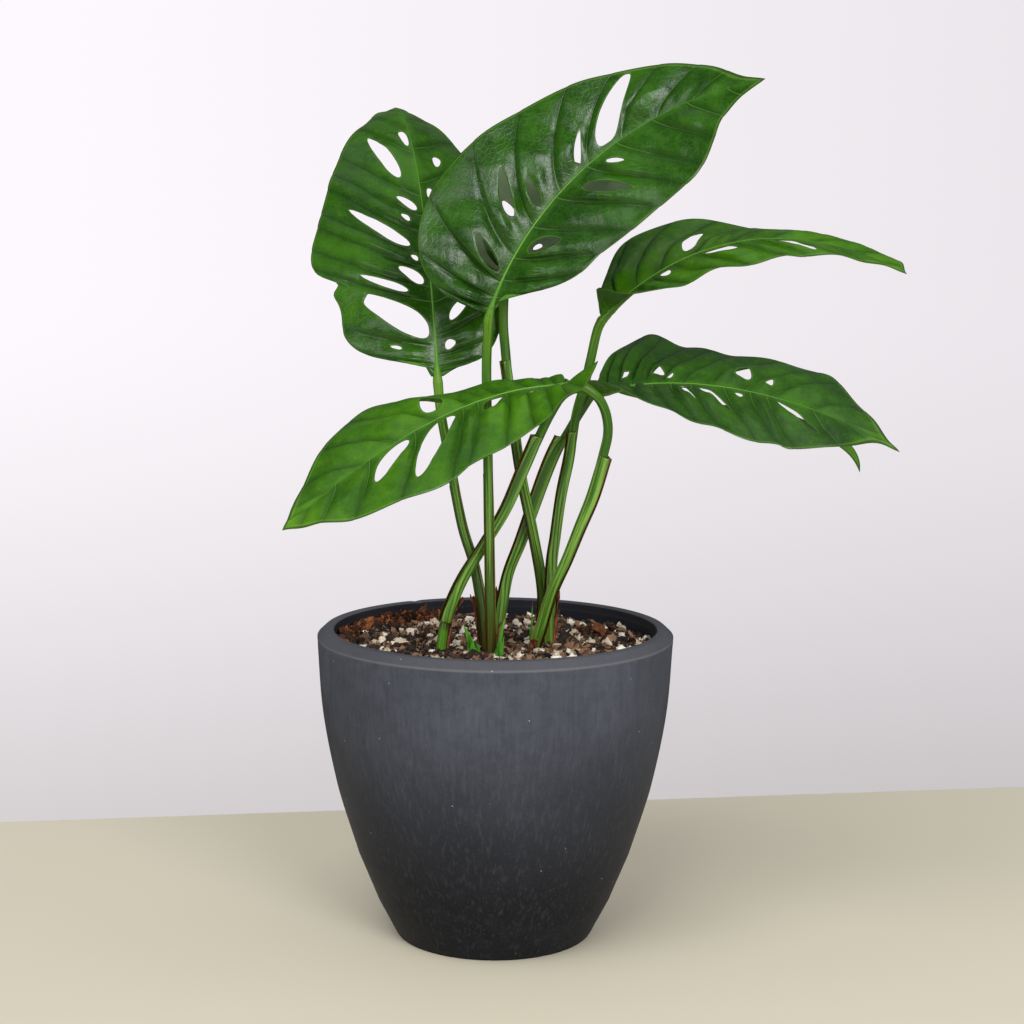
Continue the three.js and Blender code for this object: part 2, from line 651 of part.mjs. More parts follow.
function cavityRadius(z) {
  const k = clamp(CAVITY_LEVELS.findIndex((level) => level <= z), 1, CAVITY_LEVELS.length - 1);
  const [high, low] = [CAVITY_LEVELS[k - 1], CAVITY_LEVELS[k]];
  const radius = (level) => Math.min(wallRadius(level) - POT_WALL, POT_LIP_INNER_RADIUS);
  return mix(radius(low), radius(high), (z - low) / (high - low));
}

function potGeometry() {
  const profile = [[0, 0], [POT_BASE_RADIUS - POT_BASE_EDGE, 0]];
  const levels = 8;
  for (let k = 0; k <= levels; k += 1) {
    const z = mix(POT_BASE_EDGE, POT_HEIGHT - POT_BEVEL_HEIGHT, k / levels);
    profile.push([wallRadius(z), z]);
  }
  profile.push([mix(POT_CROWN_RADIUS, POT_RIM_RADIUS, 0.66), POT_HEIGHT - POT_CROWN_DROP]);
  profile.push([POT_CROWN_RADIUS, POT_HEIGHT]);
  profile.push([POT_LIP_INNER_RADIUS + 1, POT_HEIGHT]);
  profile.push([POT_LIP_INNER_RADIUS, POT_HEIGHT - 1]);
  CAVITY_LEVELS.forEach((z) => profile.push([cavityRadius(z), z]));
  profile.push([0, POT_FLOOR]);
  const points = profile.map(([r, z]) => new THREE.Vector2(r, z));
  const geometry = new THREE.LatheGeometry(points, POT_SEGMENTS);
  geometry.rotateX(Math.PI / 2);
  return geometry;
}

// The soil's top, in lumps of a few sizes that fade to level near the wall
function soilHeight(x, y) {
  const lumps = Math.sin(x * 0.31 + 1.3) * Math.cos(y * 0.27 - 0.4)
    + 0.7 * Math.sin(x * 0.53 - y * 0.41 + 2.1)
    + 0.6 * Math.cos(x * 0.19 + y * 0.61);
  return SOIL_LEVEL + SOIL_LUMP * 0.6 * lumps;
}

function soilSolid() {
  const segments = POT_SEGMENTS;
  const rings = [0.16, 0.38, 0.58, 0.78, 1];
  const gap = CLEARANCE + 0.15;
  const floor = POT_FLOOR + gap;
  const depths = CAVITY_LEVELS.filter((z) => z < SOIL_LEVEL && z > floor);
  const positions = [];
  const triangles = [];
  const push = (r, k, z) => {
    const a = (2 * Math.PI * k) / segments;
    const [x, y] = [r * Math.cos(a), r * Math.sin(a)];
    positions.push(x, y, z ?? soilHeight(x, y));
  };
  rings.forEach((share) => {
    for (let k = 0; k < segments; k += 1) {
      push((cavityRadius(SOIL_LEVEL) - gap) * share, k);
    }
  });
  [...depths, floor].forEach((z) => {
    for (let k = 0; k < segments; k += 1) {
      push(cavityRadius(z) - gap, k, z);
    }
  });
  const loops = rings.length + depths.length + 1;
  for (let r = 0; r < loops - 1; r += 1) {
    for (let k = 0; k < segments; k += 1) {
      const a = r * segments + k;
      const b = r * segments + ((k + 1) % segments);
      triangles.push(a, a + segments, b + segments, a, b + segments, b);
    }
  }
  const top = positions.push(0, 0, soilHeight(0, 0)) / 3 - 1;
  const bottom = positions.push(0, 0, floor) / 3 - 1;
  const low = (loops - 1) * segments;
  for (let k = 0; k < segments; k += 1) {
    const next = (k + 1) % segments;
    triangles.push(top, k, next, bottom, low + next, low + k);
  }
  const standing = [
    ...Object.values(LEAVES).map((leaf) => stalkSolid(leaf, CLEARANCE)),
    ...Object.values(SHOOTS).map((shoot) => shootSolid(shoot, CLEARANCE)),
  ];
  return standing.reduce((soil, stem) => soil.subtract(stem), toSolid(positions, triangles));
}

// A shoot: a pointed spear that swells a little above the soil
function shootSolid(shoot, extra) {
  const foot = shoot.path[0];
  const path = [[foot[0], foot[1], SOIL_LEVEL - SHOOT_DEPTH - extra], ...shoot.path];
  const outline = (share) => shoot.radius * (1 - share ** 2.4) + 0.25 + extra;
  return rod(path, 8, outline, [1, 0, 0]);
}

// The parts, each with its own finish
const root = new THREE.Group();

function addPart(name, geometry, color, roughness) {
  const material = new THREE.MeshStandardMaterial({ color, roughness, metalness: 0 });
  const mesh = new THREE.Mesh(geometry, material);
  mesh.name = name;
  root.add(mesh);
}

addPart('pot', potGeometry(), 0x3a3c40, 0.55);
addPart('soil', toGeometry(soilSolid()), 0x4a3527, 0.95);
Object.entries(LEAVES).forEach(([name, leaf]) => {
  addPart(name, toGeometry(leafSolid(leaf)), 0x2b6b1f, 0.4);
});
Object.entries(SHOOTS).forEach(([name, shoot]) => {
  addPart(name, toGeometry(shootSolid(shoot, 0)), 0x5f8a32, 0.5);
});

export default root;
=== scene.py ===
# %% [markdown]
# # A potted swiss cheese vine
# A house plant with seven perforated leaves on long sheathed stalks, young shoots, bark
# soil and a charcoal planter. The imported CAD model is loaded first, so that each finer
# piece can be laid exactly where its plain solid stands. Lengths are worked out in
# millimetres and turned to metres once, when a mesh is made.

# %% Load the frame
import bpy
import numpy as np
from mathutils import Matrix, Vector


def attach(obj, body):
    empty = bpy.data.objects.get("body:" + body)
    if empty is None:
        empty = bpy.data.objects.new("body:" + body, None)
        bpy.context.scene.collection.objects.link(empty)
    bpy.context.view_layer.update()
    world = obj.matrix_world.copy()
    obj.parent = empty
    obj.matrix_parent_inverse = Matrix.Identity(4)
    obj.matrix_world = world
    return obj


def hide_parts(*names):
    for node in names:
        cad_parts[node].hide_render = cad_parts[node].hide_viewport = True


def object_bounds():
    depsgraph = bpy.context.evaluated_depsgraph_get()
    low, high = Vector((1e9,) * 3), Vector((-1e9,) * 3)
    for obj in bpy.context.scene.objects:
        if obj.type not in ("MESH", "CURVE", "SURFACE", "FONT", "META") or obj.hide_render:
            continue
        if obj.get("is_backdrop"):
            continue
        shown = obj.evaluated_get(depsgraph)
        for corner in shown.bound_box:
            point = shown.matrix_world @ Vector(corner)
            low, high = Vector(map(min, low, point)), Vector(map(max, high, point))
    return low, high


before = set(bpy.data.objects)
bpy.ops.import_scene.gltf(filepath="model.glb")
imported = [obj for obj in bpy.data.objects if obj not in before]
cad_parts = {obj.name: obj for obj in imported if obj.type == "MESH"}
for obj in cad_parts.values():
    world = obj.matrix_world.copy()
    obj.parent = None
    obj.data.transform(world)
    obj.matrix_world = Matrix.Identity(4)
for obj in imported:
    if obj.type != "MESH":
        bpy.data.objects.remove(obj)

MM = 0.001
cad_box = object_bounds()
print("nodes:", ", ".join(sorted(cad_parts)))

# %% [markdown]
# ## Helpers for meshes
# Every new piece is a surface worked out as arrays: points, faces and a few numbers kept
# on each point, such as the distance from a leaf's edge, for its material to read. One
# function turns such arrays into an object, and one closes a sheet into a thin solid.

# %% Turn arrays into a piece
def make_piece(name, points, faces, materials, nodes, slot, face_material=None, kept=None):
    """A smooth mesh object from points in mm. faces is a list of index arrays, one for
    each corner count; kept maps a name to a number or a vector for each point."""
    lists = [row for group in faces for row in group.tolist()]
    mesh = bpy.data.meshes.new(name)
    mesh.from_pydata((np.asarray(points) * MM).tolist(), [], lists)
    for material in materials:
        mesh.materials.append(material)
    if face_material is not None:
        mesh.polygons.foreach_set("material_index", np.asarray(face_material, np.int32))
    mesh.polygons.foreach_set("use_smooth", np.ones(len(lists), bool))
    for key, values in (kept or {}).items():
        values = np.asarray(values, np.float32)
        kind, field = ("FLOAT_VECTOR", "vector") if values.ndim == 2 else ("FLOAT", "value")
        layer = mesh.attributes.new(key, kind, "POINT")
        layer.data.foreach_set(field, values.ravel())
    mesh.update()
    piece = bpy.data.objects.new(name, mesh)
    bpy.context.collection.objects.link(piece)
    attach(piece, "root")
    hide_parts(*nodes)
    triangles = sum((group.shape[1] - 2) * len(group) for group in faces)
    print(f"{name}: {triangles} triangles")
    return piece


def unit(vectors):
    """Each vector divided by its own length."""
    return vectors / np.maximum(np.linalg.norm(vectors, axis=-1, keepdims=True), 1e-9)


def square_to(vectors, ahead):
    """Unit vectors after the part that lies along ahead is taken off."""
    return unit(vectors - (vectors * ahead).sum(-1, keepdims=True) * ahead)


def close_sheet(points, quads, thickness):
    """Moves a copy of the sheet half the thickness each way along its normals, which are
    the mean of the cross products of the diagonals round a point, and walls every edge
    that only one face uses. Returns points, faces and sides: 0 upper, 1 under, 2 edge."""
    crossed = np.cross(points[quads[:, 2]] - points[quads[:, 0]],
                       points[quads[:, 3]] - points[quads[:, 1]])
    total = np.zeros_like(points)
    for corner in range(4):
        np.add.at(total, quads[:, corner], crossed)
    half = np.asarray(thickness).reshape(-1, 1) / 2 * unit(total)
    count = len(points)
    edges = np.concatenate([quads[:, [k, (k + 1) % 4]] for k in range(4)]).astype(np.int64)
    codes, back = edges @ [count, 1], edges @ [1, count]
    rim = edges[~np.isin(codes, back)]
    walls = np.stack([rim[:, 1], rim[:, 0], rim[:, 0] + count, rim[:, 1] + count], 1)
    under = quads[:, ::-1] + count
    side = np.repeat([0, 1, 2], [len(quads), len(under), len(walls)])
    return np.vstack([points + half, points - half]), np.vstack([quads, under, walls]), side


def smooth_step(low, high, x):
    """0 below low, 1 above high, and a smooth cubic between."""
    share = np.clip((x - low) / (high - low), 0, 1)
    return share * share * (3 - 2 * share)


# %% [markdown]
# ### Curves, rings and grids
# The same few shapes carry every piece: a smooth curve through given rows, a grid of
# quads, a stack of rings closed at both ends, and a tube swept along a path.

# %% Curves, rings and grids
def through(rows, place):
    """A smooth curve through the rows (Catmull-Rom): place counts in rows, and each
    stretch is a cubic whose slope at a row is half the step between its neighbours."""
    rows = np.asarray(rows, float)
    last = len(rows) - 1
    place = np.clip(np.asarray(place, float), 0, last)
    i = np.minimum(place.astype(int), last - 1)
    f = (place - i)[..., None]
    padded = np.vstack([2 * rows[0] - rows[1], rows, 2 * rows[-1] - rows[-2]])
    a, b, c, d = padded[i], padded[i + 1], padded[i + 2], padded[i + 3]
    return 0.5 * (2 * b + (c - a) * f + (2 * a - 5 * b + 4 * c - d) * f ** 2
                  + (3 * b - a - 3 * c + d) * f ** 3)


def pick(x, places, rows):
    """The rows' values at x, on straight lines between the rows' places."""
    return np.stack([np.interp(x, places, column) for column in np.asarray(rows).T], -1)


def lengths(path):
    """How far along the path each of its points lies."""
    return np.concatenate([[0], np.cumsum(np.linalg.norm(np.diff(path, axis=0), axis=1))])


def around(count):
    """Angles of a full turn in equal steps."""
    return np.arange(count) * 2 * np.pi / count


def turned(radius, angle, height):
    """Points round the upright axis from radius, angle and height."""
    return np.stack(np.broadcast_arrays(radius * np.cos(angle), radius * np.sin(angle),
                                        height), -1)


def grid_faces(rows, columns):
    """Quads of a sheet whose points are numbered row by row."""
    number = np.arange(rows * columns).reshape(rows, columns)
    return np.stack([number[:-1, :-1], number[:-1, 1:], number[1:, 1:], number[1:, :-1]],
                    -1).reshape(-1, 4)


def ring_faces(rows, columns):
    """Quads between rows of closed rings; the two end rings are closed by fans on one
    more point each, numbered after all the rings."""
    r, c = np.meshgrid(np.arange(rows - 1), np.arange(columns), indexing="ij")
    a = (r * columns + c).ravel()
    b = (r * columns + (c + 1) % columns).ravel()
    quads = np.stack([a, b, b + columns, a + columns], 1)
    c = np.arange(columns)
    first, last = rows * columns, rows * columns + 1
    low = (rows - 1) * columns
    fans = np.vstack([
        np.stack([np.full(columns, first), (c + 1) % columns, c], 1),
        np.stack([np.full(columns, last), low + c, low + (c + 1) % columns], 1)])
    return [quads, fans]


def join(parts):
    """Several meshes as one: points stacked and each list of faces renumbered."""
    first = np.cumsum([0] + [len(points) for points, _ in parts])
    return (np.vstack([points for points, _ in parts]),
            [np.vstack([faces + start for faces, start in zip(group, first)])
             for group in zip(*(groups for _, groups in parts))])


def sweep(path, side, wide, high, corners):
    """Rings carried along a path: ellipses with half widths along the side direction and
    across it. Returns points, faces and each point's angle."""
    ahead = unit(np.gradient(path, axis=0))
    side = square_to(side, ahead)
    across = np.cross(ahead, side)
    turn = around(corners)
    wide, high = (np.reshape(radii, (len(path), -1)) for radii in (wide, high))
    rings = (path[:, None] + side[:, None] * (wide * np.cos(turn))[..., None]
             + across[:, None] * (high * np.sin(turn))[..., None])
    points = np.vstack([rings.reshape(-1, 3), path[:1], path[-1:]])
    angle = np.concatenate([np.tile(turn, len(path)), [0, 0]])
    return points, ring_faces(len(path), corners), angle


# %% [markdown]
# ## Helpers for materials
# Colours are written as the sRGB hex values that an eye would pick and turned to linear
# light by one function. A table says which inputs and output each kind of node uses, and
# one small function adds a node with its settings and links. Most finishes are coats of
# colour, each held back by a mask, so one more function lays such coats in turn.

# %% Colour and node helpers
KINDS = {
    "place": ("TexCoord", [], "Object"),
    "direction": ("TexCoord", [], "Generated"),
    "stretch": ("Mapping", ["Vector", "Scale"], 0),
    "axes": ("SeparateXYZ", [0], None),
    "red": ("SeparateColor", [0], 0),
    "ray": ("LightPath", [], None),
    "kept": ("Attribute", [], "Fac"),
    "kept_vector": ("Attribute", [], "Vector"),
    "noise": ("TexNoise", ["Vector", "Scale", "Detail", "Roughness"], "Fac"),
    "cells": ("TexVoronoi", ["Vector", "Scale"], None),
    "math": ("Math", [0, 1], 0),
    "times": ("Math", [0, 1], 0, {"operation": "MULTIPLY"}),
    "times_plus": ("Math", [0, 1, 2], 0, {"operation": "MULTIPLY_ADD"}),
    "band": ("MapRange", ["Value", "From Min", "From Max"], 0,
             {"interpolation_type": "SMOOTHSTEP"}),
    "mix": ("Mix", ["Factor", 6, 7], 2, {"data_type": "RGBA"}),
    "bump": ("Bump", ["Height", "Strength", "Distance"], 0),
    "surface": ("BsdfPrincipled", ["Base Color", "Roughness", "Normal"], 0),
    "through": ("BsdfTranslucent", ["Color"], 0),
    "share": ("MixShader", [0, 1, 2], 0),
    "glow": ("Background", ["Color", "Strength"], 0),
    "output": ("OutputMaterial", ["Surface"], None),
    "sky": ("OutputWorld", ["Surface"], None),
}


def linear(code):
    """An sRGB hex colour as linear red, green and blue, and full alpha."""
    channels = [int(code[k:k + 2], 16) / 255 for k in (1, 3, 5)]
    return (*[c / 12.92 if c <= 0.04045 else ((c + 0.055) / 1.055) ** 2.4 for c in channels],
            1.0)


def adder(tree):
    """The function that adds nodes to a tree. It takes a kind from the table, values in
    the order of its inputs (numbers, hex colours or other nodes' outputs), more inputs by
    name, and the node's own fields, and gives the output, or all of them."""
    def add(kind, *values, more={}, **fields):
        node_type, names, output, *preset = KINDS[kind]
        node = tree.nodes.new("ShaderNode" + node_type)
        for field, value in {**dict(*preset), **fields}.items():
            setattr(node, field, value)
        for key, value in [*zip(names, values), *more.items()]:
            if isinstance(value, bpy.types.NodeSocket):
                tree.links.new(value, node.inputs[key])
            else:
                value = linear(value) if isinstance(value, str) else value
                node.inputs[key].default_value = value
        return node.outputs if output is None else node.outputs[output]
    return add


def new_material(name):
    """A material with an empty node tree, and the function that adds nodes to it."""
    material = bpy.data.materials.new(name)
    material.use_nodes = True
    material.node_tree.nodes.clear()
    return material, adder(material.node_tree)


def per(size):
    """A pattern's scale, from the size of its largest patches in millimetres."""
    return 1 / (size * MM)


def paint(add, shade, *coats):
    """Lays colours over a shade in turn. A coat is its colour, its strength and masks that
    are multiplied: an output, or an output and the two values between which it rises from
    0 to 1 on a smooth cubic (from 1 to 0 where the larger value comes first)."""
    for colour, share, *masks in coats:
        for mask in masks:
            mask = add("band", *mask) if isinstance(mask, tuple) else mask
            share = add("times", mask, share)
        shade = add("mix", share, shade, colour)
    return shade


def finish(add, shade, rough, relief, strength, depth, more={}):
    """The surface shader, with bumps from a relief that is depth millimetres high."""
    return add("surface", shade, rough, add("bump", relief, strength, depth * MM), more=more)


# %% [markdown]
# ## The camera
# The photograph was taken from a little above the leaves, tilted about eight degrees
# down, with a lens of medium length. The place was found from the pot: its rim and base
# curves fix the height, the tilt and the distance together.

# %% Set the camera
CAMERA_PLACE = (8, -1000, 350)
CAMERA_TILT = 7.6
CAMERA_ROLL = 0.4
PHOTO_SIZE = 1024
FOCAL_PIXELS = 2005

camera_data = bpy.data.cameras.new("camera")
camera_data.sensor_width = 36
camera_data.lens = 36 * FOCAL_PIXELS / PHOTO_SIZE
camera_data.clip_start = 0.01
camera = bpy.data.objects.new("camera", camera_data)
camera.location = [c * MM for c in CAMERA_PLACE]
aimed = Matrix.Rotation(np.radians(90 - CAMERA_TILT), 3, "X") \
    @ Matrix.Rotation(np.radians(CAMERA_ROLL), 3, "Z")
camera.rotation_euler = aimed.to_euler()
bpy.context.collection.objects.link(camera)
bpy.context.scene.camera = camera
print("lens", round(camera_data.lens, 1), "mm")

# %% [markdown]
# ## Table and light
# The plant stands on a plain beige table in front of a bright, faintly lilac room. A
# plane with its back edge where the table ends is the floor, and the world's colour is
# the room. One broad light from the front left gives the soft shadow to the right.

# %% Make the floor
bpy.context.scene.view_settings.view_transform = "Standard"

FLOOR_BACK = [[-302, 182], [344, 279]]
FLOOR_REACH = 3000
left_end, right_end = np.array(FLOOR_BACK, float)
along_edge = unit(right_end - left_end)
back = [left_end - along_edge * FLOOR_REACH, right_end + along_edge * FLOOR_REACH]
corners = [*back, (FLOOR_REACH, -FLOOR_REACH), (-FLOOR_REACH, -FLOOR_REACH)]
floor_mesh = bpy.data.meshes.new("floor")
floor_mesh.from_pydata([(x * MM, y * MM, 0) for x, y in corners], [], [(3, 2, 1, 0)])
floor = bpy.data.objects.new("floor", floor_mesh)
bpy.context.collection.objects.link(floor)
floor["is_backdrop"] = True

material, add = new_material("painted_table")
shade = add("mix", add("noise", add("place"), per(400), 3), "#c5bfa9", "#cdc7b1")
add("output", add("surface", shade, 0.6))
floor_mesh.materials.append(material)

# %% [markdown]
# ### The room and the lamps
# The camera sees a pale wall. The leaves mirror a dimmer room, so that their wax keeps
# its depth, with a brighter patch overhead. The key lamp shows in no mirror image: on a
# real leaf a studio's diffuser spreads it until no edge is left.

# %% Light the room
world = bpy.data.worlds.new("room")
world.use_nodes = True
world.node_tree.nodes.clear()
add = adder(world.node_tree)
toward, ray = add("axes", add("direction")), add("ray")
wall = add("mix", add("band", toward["Z"], -0.42, -0.02), "#c2bebe", "#fffaff")
wall = add("mix", add("band", toward["X"], -0.35, 0.4), wall,
           add("mix", 1.0, wall, "#e9e9e9", blend_type="MULTIPLY"))
room = add("mix", add("band", toward["Z"], -0.1, 0.9), "#98969c", "#a6a4aa")
aside = add("times", add("math", toward["X"], operation="ABSOLUTE"),
            add("band", toward["Z"], 0.1, 0.5))
dim = add("math", add("band", toward["Z"], 0.15, 0.5), add("band", toward["Y"], -0.1, 0.35),
          operation="MAXIMUM")
mirrored = ray["Is Glossy Ray"]
room = paint(add, room,
             ("#dcd8dc", 1, (toward["Y"], 0.3, 0.95)),
             ("#f4f2f8", 1, (aside, 0.3, 0.75)),
             ("#5a5a5e", 1, mirrored, dim),
             ("#d8d8de", 1, mirrored, (toward["Z"], 0.86, 0.93)))
add("sky", add("glow", add("mix", ray["Is Camera Ray"], room, wall), 1.0))
bpy.context.scene.world = world

LIGHTS = {
    "key": [(-620, -1250, 2150), (0, 0, 240), 1500, 34, False],
    "window": [(-310, -1760, 1040), (0, 0, 330), 560, 5, True],
    "side": [(760, -1640, 960), (0, 0, 300), 760, 22, True],
}
for name, (spot, aim, size, power, sheen) in LIGHTS.items():
    lamp = bpy.data.lights.new(name, "AREA")
    lamp.size = size * MM
    lamp.energy = power
    light = bpy.data.objects.new(name, lamp)
    light.visible_glossy = sheen
    light.location = [c * MM for c in spot]
    away = np.array(spot, float) - aim
    yaw = np.arctan2(away[1], away[0]) + np.pi / 2
    light.rotation_euler = (np.arctan2(np.hypot(away[0], away[1]), away[2]), 0, yaw)
    bpy.context.collection.objects.link(light)
print("lights:", ", ".join(LIGHTS))

# %% [markdown]
# ## The pot
# A turned planter with thick walls, a flat base, a curved flank that widens to the rim
# and a bevel under the lip's level crown. It is a profile carried round the axis: the
# flank passes through a few measured radii, and small arcs soften each edge.

# %% Turn the pot
POT_HEIGHT = 158
POT_RIM_RADIUS = 90
POT_BASE_RADIUS = 50
POT_WALL = 5
POT_FLOOR = 8
POT_LIP_INNER_RADIUS = 81.5
POT_CROWN_RADIUS = 86.5
POT_BEVEL_HEIGHT = 4
POT_TURNS = 256
WALL_CURVE = [[0, 50], [0.12, 59.6], [0.28, 69.6], [0.5, 79.9], [0.75, 87.2], [1, 90]]


def wall_radius(z):
    """The flank's radius: a smooth curve through measured radii at shares of height."""
    shares, radii = np.hsplit(np.array(WALL_CURVE), 2)
    place_in_rows = np.interp(z / (POT_HEIGHT - POT_BEVEL_HEIGHT), shares[:, 0],
                              np.arange(len(shares)))
    return through(radii, place_in_rows)[..., 0]


def cavity_radius(z):
    """The inside's radius: the flank less the wall, never wider than the lip's inside."""
    return np.minimum(wall_radius(z) - POT_WALL, POT_LIP_INNER_RADIUS)


def arc(centre, radius, first, last, count):
    """Points of a circle's arc in the profile's plane, angles in degrees."""
    turn = np.radians(np.linspace(first, last, count))
    return np.stack([centre[0] + radius * np.cos(turn), centre[1] + radius * np.sin(turn)], 1)


flank_z = np.linspace(1.2, POT_HEIGHT - POT_BEVEL_HEIGHT - 0.8, 70)
inner_z = np.linspace(POT_HEIGHT - 5, POT_FLOOR, 30)
crown = POT_HEIGHT - 1.1
profile = np.vstack([
    [[10, 0], [30, 0], [POT_BASE_RADIUS - 1.2, 0]],
    arc((POT_BASE_RADIUS - 0.7, 0.9), 0.9, -80, -10, 5),
    np.stack([wall_radius(flank_z), flank_z], 1),
    arc((POT_RIM_RADIUS - 1.1, POT_HEIGHT - POT_BEVEL_HEIGHT), 1.1, 10, 48, 5),
    arc((POT_CROWN_RADIUS - 0.6, crown - 0.1), 1.1, 42, 88, 6),
    [[84.9, POT_HEIGHT], [83.6, POT_HEIGHT - 0.05]],
    arc((POT_LIP_INNER_RADIUS + 1.1, crown), 1.1, 95, 178, 7),
    np.stack([cavity_radius(inner_z), inner_z], 1),
    [[40, POT_FLOOR], [10, POT_FLOOR]]])
turn = around(POT_TURNS)
radius = profile[:, :1] + 0.12 * np.sin(3 * turn + 0.6) * (profile[:, 1:] > 150)
chip_turn = np.exp(-((np.mod(turn - np.radians(121) + np.pi, 2 * np.pi) - np.pi) / 0.022) ** 2)
chip_high = np.exp(-((profile[:, 1:] - POT_HEIGHT) / 1.2) ** 2)
rings = turned(radius, turn, profile[:, 1:] - 0.5 * chip_turn * chip_high)
pot_points = np.vstack([rings.reshape(-1, 3), [[0, 0, 0]], [[0, 0, POT_FLOOR]]])
inner_rows = np.arange(len(profile)) >= len(profile) - len(inner_z) - 4
# Points of the inside, which the finish paints darker as painted shade.
pot_inside_shade = np.concatenate([np.repeat(inner_rows * 1.0, POT_TURNS), [0, 1]])
print("pot rim", POT_RIM_RADIUS * 2, "mm across")

# %% [markdown]
# ### Finish: charcoal stoneware, cast and rubbed down
# The body is cast and sanded, so it is matt with a low satin sheen. Rubbing up and down
# left faint upright streaks, and pale grit shows as rare white specks. The lip and the
# bevel are painted a little greyer and lighter, a painted sheen, and a thin pale line at
# the bevel's lower edge is a painted highlight. The body is painted darker towards the
# foot and on the inside, as painted shade.

# %% Make the stoneware
SPECK_CELL = 6
RARE_SPECK = 0.7
RIM_EDGE = 0.1538

material, add = new_material("charcoal_stoneware")
here = add("place")
high = add("axes", here)["Z"]
streaks = add("noise", add("stretch", here, (1, 1, 0.1)), per(1.8), 5, 0.6)
clouds = add("noise", here, per(60), 4)
grain = add("noise", here, per(1.1), 3, 0.7)
patch = add("noise", here, per(9), 5, 0.7)
# Height gap from the bevel's lower edge, where a thin pale line is painted as a highlight.
highlight_line_gap = add("math", add("math", high, RIM_EDGE, operation="SUBTRACT"),
                operation="ABSOLUTE")
cells = add("cells", here, per(SPECK_CELL))
rare = add("math", add("red", cells["Color"]), RARE_SPECK, operation="GREATER_THAN")
shade = add("mix", add("band", clouds, 0.3, 0.7), "#42454e", "#4e515b")
shade = paint(add, shade,
              # Painted shade: the body is painted darker towards the foot, fully dark below 20
              # mm.
              ("#17181c", 1, (high, 0.165, 0.02)),
              ("#666870", 0.13, (streaks, 0.5, 0.7)),
              ("#26272c", 0.2, (streaks, 0.48, 0.32)),
              ("#2b2c31", 0.2, (patch, 0.55, 0.4)),
              ("#6e7078", 0.14, (grain, 0.58, 0.72)),
              # Painted sheen: the lip and bevel are painted a little greyer and lighter.
              ("#4f4f52", 0.6, (high, 0.1532, RIM_EDGE)),
              # Painted highlight: a thin pale line at the bevel's lower edge.
              ("#707174", 0.45, (highlight_line_gap, 0.0009, 0.0002)),
              # Painted shade: the inside of the pot is painted darker.
              ("#1b1c21", 0.85, add("kept", attribute_name="inside")),
              ("#b9bab8", 0.75, (cells["Distance"], 0.06, 0.035), rare))
relief = add("times_plus", grain, 0.35, add("times", streaks, 0.8))
rough = add("times_plus", streaks, 0.2, 0.44)
add("output", finish(add, shade, rough, relief, 0.35, 0.25,
                     {"IOR": 1.45, "Specular IOR Level": 0.12}))
make_piece("pot_body", pot_points, ring_faces(len(profile), POT_TURNS), [material], ["pot"],
           "pot", kept={"inside": pot_inside_shade})
